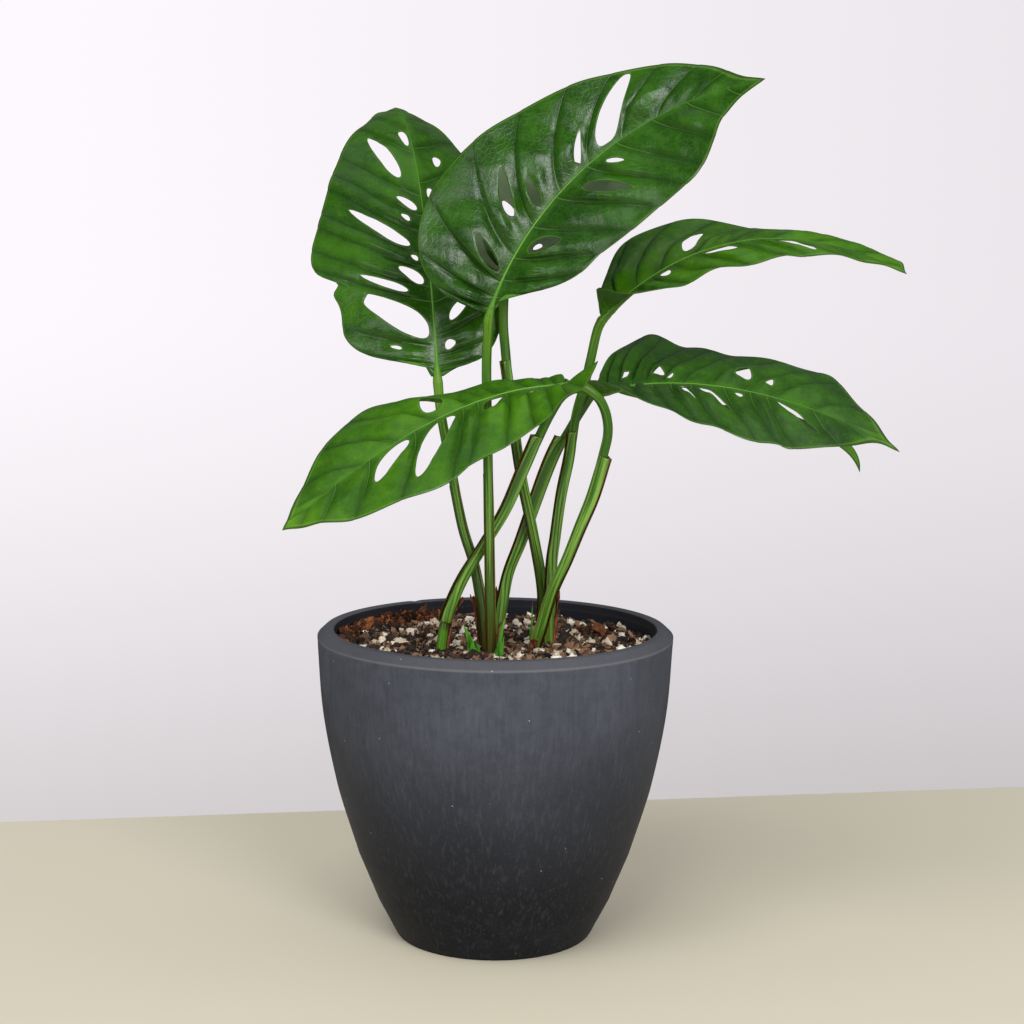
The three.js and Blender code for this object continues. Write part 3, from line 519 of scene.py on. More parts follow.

# %% [markdown]
# ## The leaves' plan
# A leaf of this vine has a curved midrib, side nerves that sweep forward, and holes that
# open between the nerves. Each half is a row of stations: where a cross line leaves the
# midrib, where it meets the edge, how wide the half is there, and how far it is folded.
# A hole is two shares of the way to the edge, two places among the stations, its width
# and how sharp its ends are. The words beside a leaf's name say how strong its relief
# and its droop are, how young it is, how strong its pale grey-green coat of dust and
# painted light is, how flushed it is, from where to where it turns lime towards the tip,
# and where a ring circles its stalk. The same plan lays out the plain solids, so these
# blades lie in the same place. One function reads this table.

# %% Lay out the seven leaves
TRAITS = {"droop": 0.0015, "young": 0, "dust": 0, "blush": 0.25, "ring": 2, "lime": 0.84,
          "limed": 1}
LEAF_PLAN = """
leaf_front relief=1 blush=0.9 lime=0.95 limed=1.05
  midrib -4 -18 316, 15 -19 375, 68 6 419, 127 -27 429
  facing 0.05 -0.95 0.32, 0 -0.9 0.45
  stalk -4 -18 316, -5 -14 289, -4 -15 242, -3 -19 199, -2 -21 148
  sheath 0.42 0.985 0.3 66 66, -0.15 -1 0
  left_stations 0 0 4 10, 2 3 26 12, 8 13 42 12, 16 34 51 10, 30 60 49 10, 52 86 42 8,
    80 112 34 8, 108 138 24 6, 134 158 15 5, 158 172 5 5, 185 185 0 0
  left_nerves 1.2 2.1 3.05 4.05 4.87 5.65 6.32 7.05 7.8 8.6 9.3
  left_holes 0.07 0.42 3.42 3.56 0.42 1, 0.21 0.67 4.54 4.56 0.28 1.2,
    0.07 0.43 5.2 5.08 0.18 1.2, 0.07 0.48 6.13 6.14 0.14 1.1, 0.09 0.95 6.74 6.6 0.42 0.6
  right_stations 0 5 3 12, 4 15 5 12, 9 22 20 12, 17 38 32 10, 31 58 36 10, 50 82 40 8,
    72 110 40 8, 98 135 37 6, 124 153 25 5, 148 163 13 5, 185 185 0 0
  right_nerves 1 2 3.1 3.95 4.9 5.75 6.6 7.3 8.1 8.9 9.5
  right_holes 0.12 0.42 4.34 4.5 0.48 1, 0.17 0.63 6.17 6.2 0.32 1.1,
    0.11 0.29 6.87 6.95 0.14 1.3
leaf_back relief=0.7 droop=0.003 young=0.12 blush=0.6
  midrib -30 8 284, -34 20 350, -44 45 420, -58 122 424
  facing 0.1 -0.95 0.25, 0 -0.7 0.7
  stalk -30 8 284, -28 7 265, -23 5 239, -17 3 209, -11 0 190, -7 -5 170, -5 -9 149
  sheath 0.33 0.985 0.3 62 60, -0.35 -1 0
  left_stations 0 0 3 5, 3 9 10 5, 5 12 33 5, 12 22 45 5, 24 40 47 5, 40 64 59 5, 62 92 52 5,
    90 124 41 5, 124 158 26 0, 162 184 12 -5, 199 199 0 -8
  left_nerves 1.2 2.2 3.35 4.9 5.3 5.76 6.02 6.5 6.81 7.2 8.05 8.7 9.4
  left_notch 4.52 7 0.17
  left_holes 0.38 0.51 3.02 3.02 0.18 1, 0.06 0.71 3.95 4.4 0.95 0.75, 0.2 0.6 5.08 5.12 0.2 1,
    0.06 0.28 5.42 5.56 0.28 1, 0.1 0.17 5.9 5.92 0.12 1, 0.17 0.77 6.16 6.32 0.24 1.1,
    0.16 0.26 6.66 6.66 0.12 1, 0.07 0.31 6.94 6.98 0.16 1, 0.25 0.78 7.46 7.86 0.4 1.1,
    0.06 0.28 8.3 8.36 0.32 1
  right_stations 0 0 3 5, 2 4 10 5, 4 9 24 5, 12 22 33 5, 24 42 35 5, 42 66 38 -5, 66 94 39 -16,
    94 124 37 -25, 126 156 30 -30, 162 184 16 -30, 199 199 0 -30
  right_nerves 1.2 2.1 2.85 3.75 4.8 5.7 6.6 7.35 8.1 8.9 9.5
  right_holes 0.14 0.3 3.24 3.22 0.42 1, 0.22 0.54 4.2 4.44 0.4 0.9, 0.1 0.2 7.1 7.1 0.2 1,
    0.33 0.48 7.68 7.66 0.24 1
leaf_between relief=0.7 dust=0.7 blush=0.5
  midrib 3 13 325, 9 18 352, 39 21 373, 73 16 378
  facing 0.05 -0.95 0.32, 0 -0.9 0.45
  stalk 3 13 326, 3 12 310, 4 12 298, 6 11 280, 12 10 237, 19 10 203, 24 11 173, 23 13 149
  sheath 0.3 0.985 1.6 24 58, -0.7 -0.7 0
  left_stations 0 0 3 8, 2 2 16 8, 6 6 28 8, 13 18 38 8, 23 36 41 8, 38 54 34 8, 55 71 19 6,
    75 87 9 5, 93 93 0 0
  left_nerves 1 2 2.6 3.5 4.1 4.7 5.5 6.2 6.75 7.4
  left_holes 0.2 0.51 2.8 3.24 0.2 1, 0.41 0.64 4.4 4.24 0.2 1, 0.1 0.32 6.4 6.5 0.3 1
  right_stations 0 1 3 8, 2 5 9 8, 6 12 14 8, 13 23 19 8, 24 38 22 8, 39 56 23 8, 57 73 18 6,
    75 87 9 5, 93 93 0 0
  right_nerves 1 2 3 4 5 6 7
  right_holes 0.09 0.24 4.35 4.4 0.3 1
leaf_right_upper relief=1 young=0.55
  midrib 53 8 314, 94 -1 358, 147 -2 365, 199 -20 337
  facing 0.1 -0.5 0.85, 0.2 -0.25 0.93
  stalk 53 8 314, 50 9 307, 47 9 293, 44 9 280, 40 9 265, 37 8 244, 33 6 225, 30 4 204, 28 2 187,
    27 0 149
  sheath 0.44 0.985 1 22 22, -0.9 -0.45 0
  left_stations 0 0 4 8, 1 5 12 8, 4 15 25 6, 11 30 37 6, 24 52 41 4, 42 76 38 -6, 62 97 35 -10,
    86 118 28 -6, 112 138 18 -3, 140 155 12 6, 163 163 0 0
  left_nerves 1 2 3 3.9 4.7 5.7 6.5 7.3 8.1 8.9 9.5
  left_holes 0.17 0.63 5.4 5.05 0.34 1
  right_stations 0 1 3 90, 1 6 9 95, 5 10 20 75, 12 20 30 40, 26 42 29 12, 42 66 27 4,
    62 90 24 -4, 86 114 17 -4, 112 138 10 -3, 140 153 4 0, 163 163 0 0
  right_nerves 1 2 3 3.75 4.3 5.05 5.75 6.55 7 7.7 8.4 9.2
  right_holes 0.08 0.38 4.74 4.58 0.3 1, 0.07 0.42 6.12 6.2 0.6 1, 0.08 0.84 7.4 7.36 0.42 1
leaf_right_lower relief=1.2 young=0.12 dust=0.04 ring=0.86
  midrib 50 -6 277, 95 -18 292, 157 -26 276, 193 -48 253
  facing 0 -0.5 0.87, 0.1 -0.5 0.87
  stalk 50 -6 277, 44 -6 279, 38 -6 279, 32 -6 275, 27 -6 267, 23 -6 259, 14 -7 239, 5 -8 219,
    -6 -9 201, -16 -10 185, -22 -11 172, -25 -12 163, -27 -13 148
  sheath 0.4 0.85 2.4 15 24, -0.85 -0.5 0
  left_stations 0 0 4 12, 1 2 14 12, 5 9 32 6, 13 22 46 4, 24 40 42 -3, 40 62 37 -3, 58 86 36 -1,
    80 106 34 1, 105 126 19 0, 129 144 5 0, 155 155 0 0
  left_nerves 1 2 2.8 3.4 4 4.56 5.1 5.9 6.75 7.3 8.1 8.9 9.5
  left_holes 0.12 0.22 2.98 3.18 0.18 1, 0.17 0.3 4.34 4.16 0.34 1, 0.1 0.19 4.7 4.72 0.12 1,
    0.22 0.41 6.44 6.24 0.34 1, 0.22 0.32 7 6.96 0.14 1
  right_stations 0 -2 5 75, 1 -9 20 62, 5 2 30 50, 12 18 36 34, 23 38 38 18, 38 58 38 8,
    57 82 36 0, 80 105 33 -2, 105 128 22 0, 127 142 4.5 0, 155 155 0 0
  right_nerves 1 2 3 3.7 4.35 4.95 5.5 6.3 6.85 7.2 8.15 9 9.5
  right_holes 0.12 0.26 4.05 4.02 0.26 1, 0.1 0.19 5.24 5.24 0.14 1, 0.23 0.49 5.14 5.34 0.2 1,
    0.12 0.54 5.72 6.12 0.24 1, 0.09 0.2 6.6 6.56 0.16 1, 0.1 0.71 7.4 7.92 0.16 1.1
leaf_right_under relief=0.6 young=0.6 lime=-0.2 limed=1
  midrib 60 24 279, 91 22 264, 178 15 271, 182 0 239.5
  facing 0 0 1, 0.35 -0.35 0.87
  stalk 60 24 279, 56 23 279, 52 22 277, 48 20 274, 44 20 268, 38 20 258, 28 20 239, 14 20 201,
    7 20 184, 4 19 171, 1 17 152
  sheath 0.49 0.985 3.2 13 24, -0.9 -0.4 0
  left_stations 0 0 3 5, 1 0 12 2, 5 8 18 0, 13 22 22 -4, 26 40 23 -6, 42 62 22 -6, 62 86 17 -4,
    86 108 9 0, 138 138 0 0
  left_nerves 1 2 3 4 5 6 7
  right_stations 0 0 3 10, 1 0 9 8, 5 7 13 6, 13 21 16 4, 26 40 17 4, 42 62 16 4, 62 86 13 2,
    86 108 9 0, 138 138 0 0
  right_nerves 1 2 3 4 5 6 7
leaf_left relief=1.25 young=0.5
  midrib 35 -40 283, -14 -57 286, -64 -76 249, -96 -102 221
  facing -0.1 -0.5 0.85, -0.3 -0.6 0.75
  stalk 35 -40 283, 41 -41 283, 46 -41 280, 50 -40 276, 53 -38 269, 54 -36 260, 52 -33 249,
    47 -28 229, 41 -24 212, 35 -20 195, 28 -16 178, 23 -12 160, 20 -9 149
  sheath 0.46 0.985 2.2 16 26, 0.85 -0.5 0
  left_stations 0 -3 4 75, 1 -9 17 75, 4 1 23 34, 10 14 26 18, 22 30 34 5, 38 60 37 0, 60 92 39 0,
    84 116 33 0, 110 138 23 0, 135 152 10 0, 161 161 0 0
  left_nerves 1 2 2.7 3.4 4.1 4.7 5.45 5.8 6.9 7.9 8.7 9.4
  left_holes 0.06 0.17 3.76 3.77 0.46 1, 0.06 0.29 5.06 5.14 0.46 1, 0.07 0.78 6.22 6.6 0.68 0.85,
    0.06 0.55 7.24 7.6 0.6 1
  right_stations 0 -2 4 -10, 1 -2 20 -20, 6 8 33 -24, 13 23 37 -24, 24 42 38 -23, 40 64 41 -17,
    60 88 40 -6, 84 110 29.5 0, 110 134 16 0, 135 150 6 0, 161 161 0 0
  right_nerves 1 1.95 2.75 3.7 4.7 5.6 6.45 7.3 8.1 8.9 9.5
  right_holes 0.34 0.89 2.55 2.12 0.2 1, 0.16 0.46 6.16 5.86 0.44 1
"""


def read_plan(text):
    """Leaves by name. A line at the margin names a leaf and gives its own traits, and a
    word at the head of a line names a list of rows of numbers, parted by commas."""
    leaves = {}
    for line in text.strip().splitlines():
        words = line.split()
        if line[0] != " ":
            own = (word.split("=") for word in words[1:])
            leaf = leaves[words[0]] = {**TRAITS, **{key: float(n) for key, n in own}}
            continue
        if words[0][0].isalpha():
            rows = leaf[words.pop(0)] = [[]]
        for word in words:
            rows[-1].append(float(word.strip(",")))
            if word[-1] == ",":
                rows.append([])
    return leaves


LEAVES = read_plan(LEAF_PLAN)
for leaf in LEAVES.values():
    leaf["length"] = leaf["left_stations"][-1][0]
    for side in ("left", "right"):
        half = leaf[side] = {part: leaf.get(f"{side}_{part}", [])
                             for part in ("stations", "nerves", "notch", "holes")}
        half["bounds"] = np.array([0, *half["nerves"][0], len(half["stations"]) - 1], float)
print("leaves:", len(LEAVES))

# %% [markdown]
# ## The blades
# A living blade is a thin sheet, puffed up between its side nerves, with each nerve in a
# crease. It could be sculpted, but the plan already gives every point: a station and a
# share of the way from midrib to edge.

# %% The midrib's frame and a half blade's surface
BLADE_THICKNESS = 0.5
QUILT_HEIGHT = 2.9
VEIN_SWEEP = 1.35
ARC_STEPS = 900


def midrib_frame(leaf, x):
    """Place, up and left on the midrib at distance x: a cubic arc with four guide points,
    measured by length, that runs on straight before the stalk."""
    a, b, c, d = np.array(leaf["midrib"])
    u = np.linspace(0, 1, ARC_STEPS)[:, None]
    v = 1 - u
    arc_points = v ** 3 * a + 3 * v * v * u * b + 3 * v * u * u * c + u ** 3 * d
    slopes = unit(v * v * (b - a) + 2 * v * u * (c - b) + u * u * (d - c))
    run = lengths(arc_points)
    kept = np.clip(x, 0, run[-1])
    ahead = unit(pick(kept, run, slopes))
    spot = pick(kept, run, arc_points) + ahead * (x - kept)[..., None]
    facing = unit(np.array(leaf["facing"]))
    up = facing[0] + (facing[1] - facing[0]) * (kept / run[-1])[..., None]
    up = square_to(up, ahead)
    return spot, up, np.cross(up, ahead)


def half_width(half, v):
    """The width at each station place, less a notch where the plan has one: a dip with
    the shape of a bell curve."""
    width = through(half["stations"], v)[..., 2]
    for middle, depth, reach in half["notch"]:
        width = width - depth * np.exp(-((v - middle) / reach) ** 2)
    return np.maximum(width, 0)


def half_surface(leaf, half, side, v, t):
    """Points of a half blade: along the sweep of the side nerves from the midrib, up by
    the fold, puffed between nerves, rippled a little, and curved away from flat."""
    foot, reach, _, fold = np.moveaxis(through(half["stations"], v), -1, 0)
    x = foot + (reach - foot) * t ** VEIN_SWEEP
    y = half_width(half, v) * t
    spot, up, left = midrib_frame(leaf, x)
    count = np.interp(v, half["bounds"], np.arange(len(half["bounds"])))
    between = count % 1
    broad = np.minimum(1, y / 12)
    puff = 1 - np.abs(2 * between ** 0.5 - 1) ** 2.2
    y = y + 0.25 * puff * t ** 3 * broad
    crease = np.exp(-(12 * np.minimum(between, 1 - between)) ** 2)
    uneven = 1 + 0.4 * np.sin(2.4 * np.floor(count) + side)
    fade = 3.0 * t ** 0.55 * (1 - t) ** 1.5
    swell = (QUILT_HEIGHT * puff * uneven - 0.45 * crease) * fade * leaf["relief"]
    tone = side * 1.7 + leaf["length"] * 0.37
    pleat = 0.3 * np.sin(2 * np.pi * 2.3 * count + tone + 5 * t)
    pleat = pleat * np.exp(-((t - 0.25) / 0.22) ** 2) * (1 + np.sin(1.3 * count + tone))
    crinkle = (0.9 * np.sin(0.11 * x + tone) * np.sin(0.14 * y + 0.05 * x)
               + 0.2 * np.sin(0.41 * x + tone) * np.sin(0.33 * y + 0.2 * x)
               + 0.07 * np.sin(0.9 * x - 0.5 * y + tone) * np.sin(0.8 * y + 0.3 * x))
    wave = 0.9 * np.sin(np.pi * count + tone) * t ** 4
    swell = (swell + pleat * leaf["relief"] + crinkle * np.sin(np.pi * t) + wave) * broad
    turn = np.radians(fold)
    lift = np.sin(turn) * y + swell - leaf["droop"] * y * y
    return spot + left * (side * np.cos(turn) * y)[..., None] + up * lift[..., None]


# %% [markdown]
# ### Holes
# A hole could be cut with a Boolean, but then its edge would be ragged. Instead a block
# of the grid is left out, and rings that shrink from the block's border to the hole's
# outline fill it, so every quad lies along the hole.

# %% A half blade with its holes
ROW_STEP = 1.5
COLUMN_SHARES = np.linspace(0, 1, 45) ** 1.15
HOLE_MARGIN = 0.006
HOLE_RINGS = 7
FAR_OFF = 99.0


def hole_outline(hole, angle, centre, scale):
    """The point of a hole's outline in each direction from its centre: an oval along the
    nerves, its sides drawn in to points by the sharpness."""
    start_share, end_share, start, end, width, sharpness = hole
    turn = np.linspace(-np.pi, np.pi, 721)
    along = (1 - np.cos(turn)) / 2
    bulge = np.sign(np.sin(turn)) * np.abs(np.sin(turn)) ** sharpness
    v = start + (end - start) * along + width / 2 * bulge * (1.3 - 0.65 * along)
    t = start_share + (end_share - start_share) * along
    direction = np.arctan2((v - centre[0]) / scale[0], (t - centre[1]) / scale[1])
    order = np.argsort(direction)
    order = np.concatenate([order[-1:], order, order[:1]])
    directions = direction[order] + 2 * np.pi * np.array([-1, *np.zeros(721), 1])
    return np.interp(angle, directions, v[order]), np.interp(angle, directions, t[order])


def blade_half(leaf, half, side):
    """A grid of stations and shares with its hole blocks swapped for rings. Returns the
    points, quads and, for each point, its distances to a side nerve, to the nearest free
    edge and to the midrib, and its share of the way to the tip."""
    bounds, shares = half["bounds"], COLUMN_SHARES
    rows = [np.zeros(1)]
    for low, high in zip(bounds, bounds[1:]):
        ends = half_surface(leaf, half, side, np.array([low, high, low, high]),
                            np.array([1, 1, 0.6, 0.6]))
        gap = max(np.linalg.norm(ends[0] - ends[1]), np.linalg.norm(ends[2] - ends[3]))
        steps = int(np.clip(np.ceil(gap / ROW_STEP), 4, 22))
        rows.append(np.linspace(low, high, steps + 1)[1:])
    rows = np.concatenate(rows)
    v, t = np.meshgrid(rows, shares, indexing="ij")
    number = np.arange(v.size).reshape(v.shape)
    solid = np.ones((len(rows) - 1, len(shares) - 1), bool)
    kept, quads, count = [(v.ravel(), t.ravel(), np.full(v.size, FAR_OFF))], [], v.size
    for hole in half["holes"]:
        centre = ((hole[2] + hole[3]) / 2, (hole[0] + hole[1]) / 2)
        k = np.searchsorted(bounds, centre[0])
        r0, r1 = np.searchsorted(rows, bounds[k - 1:k + 1] - 1e-6)
        c0 = np.searchsorted(shares, hole[0] - HOLE_MARGIN) - 1
        c1 = np.searchsorted(shares, hole[1] + HOLE_MARGIN)
        solid[r0:r1, c0:c1] = False
        ring = np.concatenate([number[r0, c0:c1], number[r0:r1, c1],
                               number[r1, c1:c0:-1], number[r1:r0:-1, c0]])
        scale = (rows[r1] - rows[r0], shares[c1] - shares[c0])
        ring_v, ring_t = v.ravel()[ring], t.ravel()[ring]
        angle = np.arctan2((ring_v - centre[0]) / scale[0], (ring_t - centre[1]) / scale[1])
        hole_v, hole_t = hole_outline(hole, angle, centre, scale)
        s = np.linspace(0, 1, HOLE_RINGS + 1)[:-1, None] ** 1.3
        inner_v = hole_v + (ring_v - hole_v) * s
        inner_t = hole_t + (ring_t - hole_t) * s
        spots = half_surface(leaf, half, side, inner_v, inner_t)
        near = np.linalg.norm(spots - spots[:1], axis=-1)
        kept.append((inner_v.ravel(), inner_t.ravel(), near.ravel()))
        ids = np.vstack([count + np.arange(inner_v.size).reshape(inner_v.shape), ring])
        after = np.roll(ids, -1, axis=1)
        quads.append(np.stack([ids[:-1], ids[1:], after[1:], after[:-1]], -1).reshape(-1, 4))
        count += inner_v.size
    quads = np.vstack([grid_faces(*v.shape)[solid.ravel()], *quads])
    if side > 0:
        quads = quads[:, ::-1]
    v, t, near = (np.concatenate(values) for values in zip(*kept))
    width = half_width(half, v)
    points = half_surface(leaf, half, side, v, t)
    low = np.minimum(np.searchsorted(bounds, v, side="right") - 1, len(bounds) - 2)
    vein = np.minimum(*(np.linalg.norm(
        points - half_surface(leaf, half, side, bounds[low + k], t), axis=1) for k in (0, 1)))
    foot, reach, _, _ = np.moveaxis(through(half["stations"], v), -1, 0)
    along = (foot + (reach - foot) * t) / leaf["length"]
    return points, quads, vein, np.minimum(near, (1 - t) * width), width * t, along


def blade_arrays(leaf):
    """Both halves as one closed mesh: points, faces, sides and the kept numbers."""
    sheets, sides, kept = [], [], []
    for half, side in ((leaf["left"], 1), (leaf["right"], -1)):
        points, quads, *numbers = blade_half(leaf, half, side)
        thin = BLADE_THICKNESS * (0.45 + 0.55 * smooth_step(0, 1.5, numbers[1]))
        solid, closed, which = close_sheet(points, quads, thin)
        sheets.append((solid, [closed]))
        sides.append(which)
        kept.append(np.tile(np.stack(numbers), 2))
    return *join(sheets), np.concatenate(sides), np.hstack(kept)


# %% [markdown]
# ## Stalks and midribs
# A leaf stalk runs up out of the soil and on under the blade as its midrib, one tapering
# rod. A tube swept along both keeps them in one flow. On the blade's upper face only a
# low pale ridge of it shows, and beneath it stands out as a keel.

# %% Sweep a stalk and its midrib
STALK_RADIUS = 2.4
STALK_DEPTH = 14
SOIL_LEVEL = 148
STALK_CORNERS = 28
RIB_STEPS = 90
GRAIN_STRETCH = 0.016


def stalk_path(leaf, steps=150):
    """The stalk's middle line from its root end up to the blade."""
    foot = leaf["stalk"][-1]
    rows = [[foot[0], foot[1], SOIL_LEVEL - STALK_DEPTH], *leaf["stalk"][::-1]]
    return through(rows, np.linspace(0, len(rows) - 1, steps))


def stalk_arrays(leaf):
    """Stalk then midrib as rings: round below, and along the blade an ellipse that thins
    towards the tip and sinks so that a low ridge stays above the blade. The side that
    faces the sheath's slit blushes near the soil."""
    (top, *_), toward = leaf["sheath"]
    stalk = stalk_path(leaf)
    x = np.linspace(0, 0.985, RIB_STEPS)[1:] ** 1.1 * leaf["length"]
    spot, up, left = midrib_frame(leaf, x)
    share = x / leaf["length"]
    rib_wide = 0.18 + 0.6 * (1 - share) ** 1.2 + 1.3 * np.exp(-x / 8)
    rib_high = 0.3 + 1.1 * (1 - share) ** 1.2 + 1.1 * np.exp(-x / 7)
    drop = rib_high - (0.22 + 0.42 * (1 - share)) - 1.0 * np.exp(-x / 7)
    path = np.vstack([stalk, spot - up * drop[:, None]])
    bend = slice(len(stalk) - 5, len(stalk) + 5)
    path[bend] = (path[bend] + np.roll(path, 3, 0)[bend] + np.roll(path, -3, 0)[bend]) / 3
    side = np.vstack([np.tile(left[0], (len(stalk), 1)), left])
    down = np.linspace(1, 0, len(stalk))
    ring = leaf["ring"]
    stalk_wide = (STALK_RADIUS + 0.35 * np.exp(-down / 0.03)
                  - 0.15 * smooth_step(top, top + 0.1, down)
                  + 0.45 * np.exp(-((down - ring) / 0.009) ** 2)
                  + 0.5 * smooth_step(ring, ring + 0.03, down))
    ease = lambda values: np.convolve(np.pad(np.concatenate(values), 4, mode="edge"),
                                      np.ones(9) / 9, mode="valid")
    points, faces, angle = sweep(path, side, ease([stalk_wide, rib_wide]),
                                 ease([stalk_wide * 0.97, rib_high]), STALK_CORNERS)
    rows = np.concatenate([np.repeat(np.concatenate([down, -share]), STALK_CORNERS), [1, -1]])
    run = lengths(path)
    run = np.concatenate([np.repeat(run, STALK_CORNERS), [0, run[-1]]])
    grain = turned(STALK_RADIUS, angle, GRAIN_STRETCH * run) * MM
    out = unit(points[:-2] - np.repeat(path, STALK_CORNERS, axis=0))
    facing_slit = np.concatenate([out @ unit(np.array(toward)), [0, 0]])
    blush = (leaf["blush"] * smooth_step(0.2, 0.85, facing_slit)
             * smooth_step(0.5, 0.85, rows))
    return points, faces, {"grain": grain, "down": rows, "blush": blush,
                           "stub": smooth_step(ring, ring + 0.02, rows)}


# %% [markdown]
# ## Sheaths
# Each stalk grew wrapped in a sheath, and the dried-edged remains of it clasp the stalk
# from the soil up to a short cut lip. Rolled paper would look alike: an oval channel
# with a slit, set off to one side, whose margins are brown. The plan gives its top and
# foot as shares of the stalk, how far it stands out in mm, half its gap in degrees at
# each end, and the way the slit faces.

# %% Wrap a stalk in its sheath
SHEATH_THICKNESS = 0.35
SHEATH_ROWS = 96
SHEATH_COLUMNS = 35


def sheath_arrays(leaf, seed):
    """A slit channel along the stalk: its angle runs from one margin round the back to
    the other, it reaches out towards the slit, and its lip is cut unevenly."""
    rng = np.random.default_rng(seed)
    (top, foot, reach, lip_gap, low_gap), toward = leaf["sheath"]
    share = np.linspace(0, 1, SHEATH_ROWS)
    stalk = stalk_path(leaf, 400)[::-1]
    down = top + (foot - top) * share
    line = pick(down, np.linspace(0, 1, len(stalk)), stalk)
    ahead = unit(np.gradient(line, axis=0))
    toward = square_to(np.array(toward), ahead)
    across = np.cross(ahead, toward)
    reach = reach * (0.15 + 0.85 * (1 - smooth_step(0.05, 0.55, share)))
    flare = 0.3 * np.exp(-share / 0.03)
    gap = np.radians(low_gap + (lip_gap - low_gap) * np.exp(-share / 0.25))[:, None]
    turn = np.linspace(0, 1, SHEATH_COLUMNS)
    angle = gap + 2 * (np.pi - gap) * turn
    out = STALK_RADIUS + 0.12 + (flare + 0.65 * smooth_step(0.3, 1, share))[:, None]
    out = out - 0.5 * (1 - np.cos(angle)) * np.exp(-share / 0.06)[:, None]
    ahead_reach = out + reach[:, None] * (np.cos(angle) > 0) * np.cos(angle) ** 2
    ragged = 0.5 * np.convolve(rng.normal(size=SHEATH_COLUMNS + 4), np.ones(5) / 5,
                               mode="valid")
    cut = (0.9 * np.abs(np.cos(angle)) + ragged) * np.exp(-share[:, None] / 0.02)
    points = (line[:, None] + toward[:, None] * (ahead_reach * np.cos(angle))[..., None]
              + across[:, None] * (out * 0.98 * np.sin(angle))[..., None]
              + ahead[:, None] * cut[..., None])
    margin = np.minimum(turn, 1 - turn)[None] * 2 * (np.pi - gap) * out
    lip = share[:, None] * lengths(line)[-1]
    edge = np.minimum(margin, lip).ravel()
    solid, faces, _ = close_sheet(points.reshape(-1, 3), grid_faces(*angle.shape),
                                  SHEATH_THICKNESS)
    grain = np.stack(np.broadcast_arrays(angle * out, 0.0, GRAIN_STRETCH * lip), -1) * MM
    return solid, [faces], {"edge": np.tile(edge, 2),
                            "down": np.tile(np.repeat(down, SHEATH_COLUMNS), 2),
                            "grain": np.tile(grain.reshape(-1, 3), (2, 1))}


# %% [markdown]
# ### Finish: the glossy upper skin of a tropical leaf
# The upper skin is a thin clear wax over deep green tissue, so it takes a soft sheen.
# Side nerves are sunk in furrows that are painted darker, a painted shade, and are a
# little paler themselves, a fine net of veinlets lies between them, and the free edges
# are dark and thin. A pale grey-green coat on some leaves is partly dust and partly
# painted light. Some light passes through the blade.

# %% Make the leaf's two skins and its rim
NET_CELL = 2.6
VEIN_WIDTH = 0.55


def leaf_skin(name, deep, fresh, nerve, rough, sheen, dust_and_light_share):
    """Leaf tissue: blotches of two greens, tender where young, then painted shade in the
    furrows by the side nerves, the paler nerves and veinlet net, a grey-green coat of dust
    and painted light, and the rim, each by its distance."""
    material, add = new_material(name)
    here = add("place")
    young, lime, dust, vein, edge, across = (
        add("kept", attribute_name=key)
        for key in ("young", "lime", "dust", "vein", "edge", "across"))
    blotch = add("noise", here, per(38), 4, 0.55)
    mottle = add("noise", here, per(6), 4, 0.6)
    fine = add("noise", here, per(1), 3, 0.6)
    mixed = add("times_plus", mottle, 0.35, add("times", blotch, 0.75))
    tender = add("mix", add("band", mixed, 0.4, 0.72), "#34640a", "#508404")
    cells = add("cells", here, per(NET_CELL), feature="DISTANCE_TO_EDGE")
    net = add("band", cells["Distance"], 0.09, 0.0)
    line = add("band", vein, VEIN_WIDTH, 0.1)
    shade = add("mix", add("band", mixed, 0.35, 0.75), deep, fresh)
    shade = paint(add, shade,
                  (tender, 1, young),
                  ("#5c8f1a", 0.6, lime),
                  (nerve, 0.12, (across, 4, 0.5)),
                  (nerve, 0.08, net),
                  # Painted shade: the tissue is painted darker in the furrows beside each side
                  # nerve.
                  (deep, 0.42, (vein, 6, 0.0)),
                  (deep, 0.35, (vein, 1.6, 0.3)),
                  (nerve, 0.3, line, (across, 26, 4)),
                  # A pale grey-green coat: partly dust, partly painted light that makes a leaf in
                  # shade look lit.
                  ("#7f9273", dust_and_light_share, dust),
                  ("#7aa83e", 0.2, (edge, 1.1, 0.6)),
                  ("#1d3a0c", 0.8, (edge, 0.6, 0.25)))
    relief = add("times_plus", net, -0.25, add("times", fine, 0.5))
    relief = add("times_plus", line, -0.9, relief)
    wax = finish(add, shade, add("times_plus", mottle, 0.14, rough), relief, 0.6, 0.2,
                 {"IOR": 1.45, "Specular IOR Level": sheen, "Coat Weight": 0.04,
                  "Coat Roughness": 0.2})
    passed = add("through", add("mix", 0.4, shade, "#5f9a10"))
    add("output", add("share", 0.06, wax, passed))
    return material


leaf_top = leaf_skin("waxy_leaf_top", "#103003", "#2b5a04", "#5f9a30", 0.18, 0.36, 1)
leaf_under = leaf_skin("matt_leaf_underside", "#3d6a1a", "#4f8424", "#8fb356", 0.5, 0.3, 0.1)

leaf_rim, add = new_material("dry_leaf_rim")
shade = add("mix", add("noise", add("place"), per(9), 3), "#1b3a10", "#4d6a28")
add("output", add("surface", shade, 0.5))

# %% [markdown]
# ### Finish: ribbed green stalk skin
# A stalk's skin is smooth with fine ribs lengthwise. It is yellow-green where it bends
# under the blade, mid green below, and flushed red-brown in lines near the soil. The
# pattern is read round and along the stalk, so that it follows every bend.

# %% Make the stalk's skin
FLUSH = "#4c1c12"

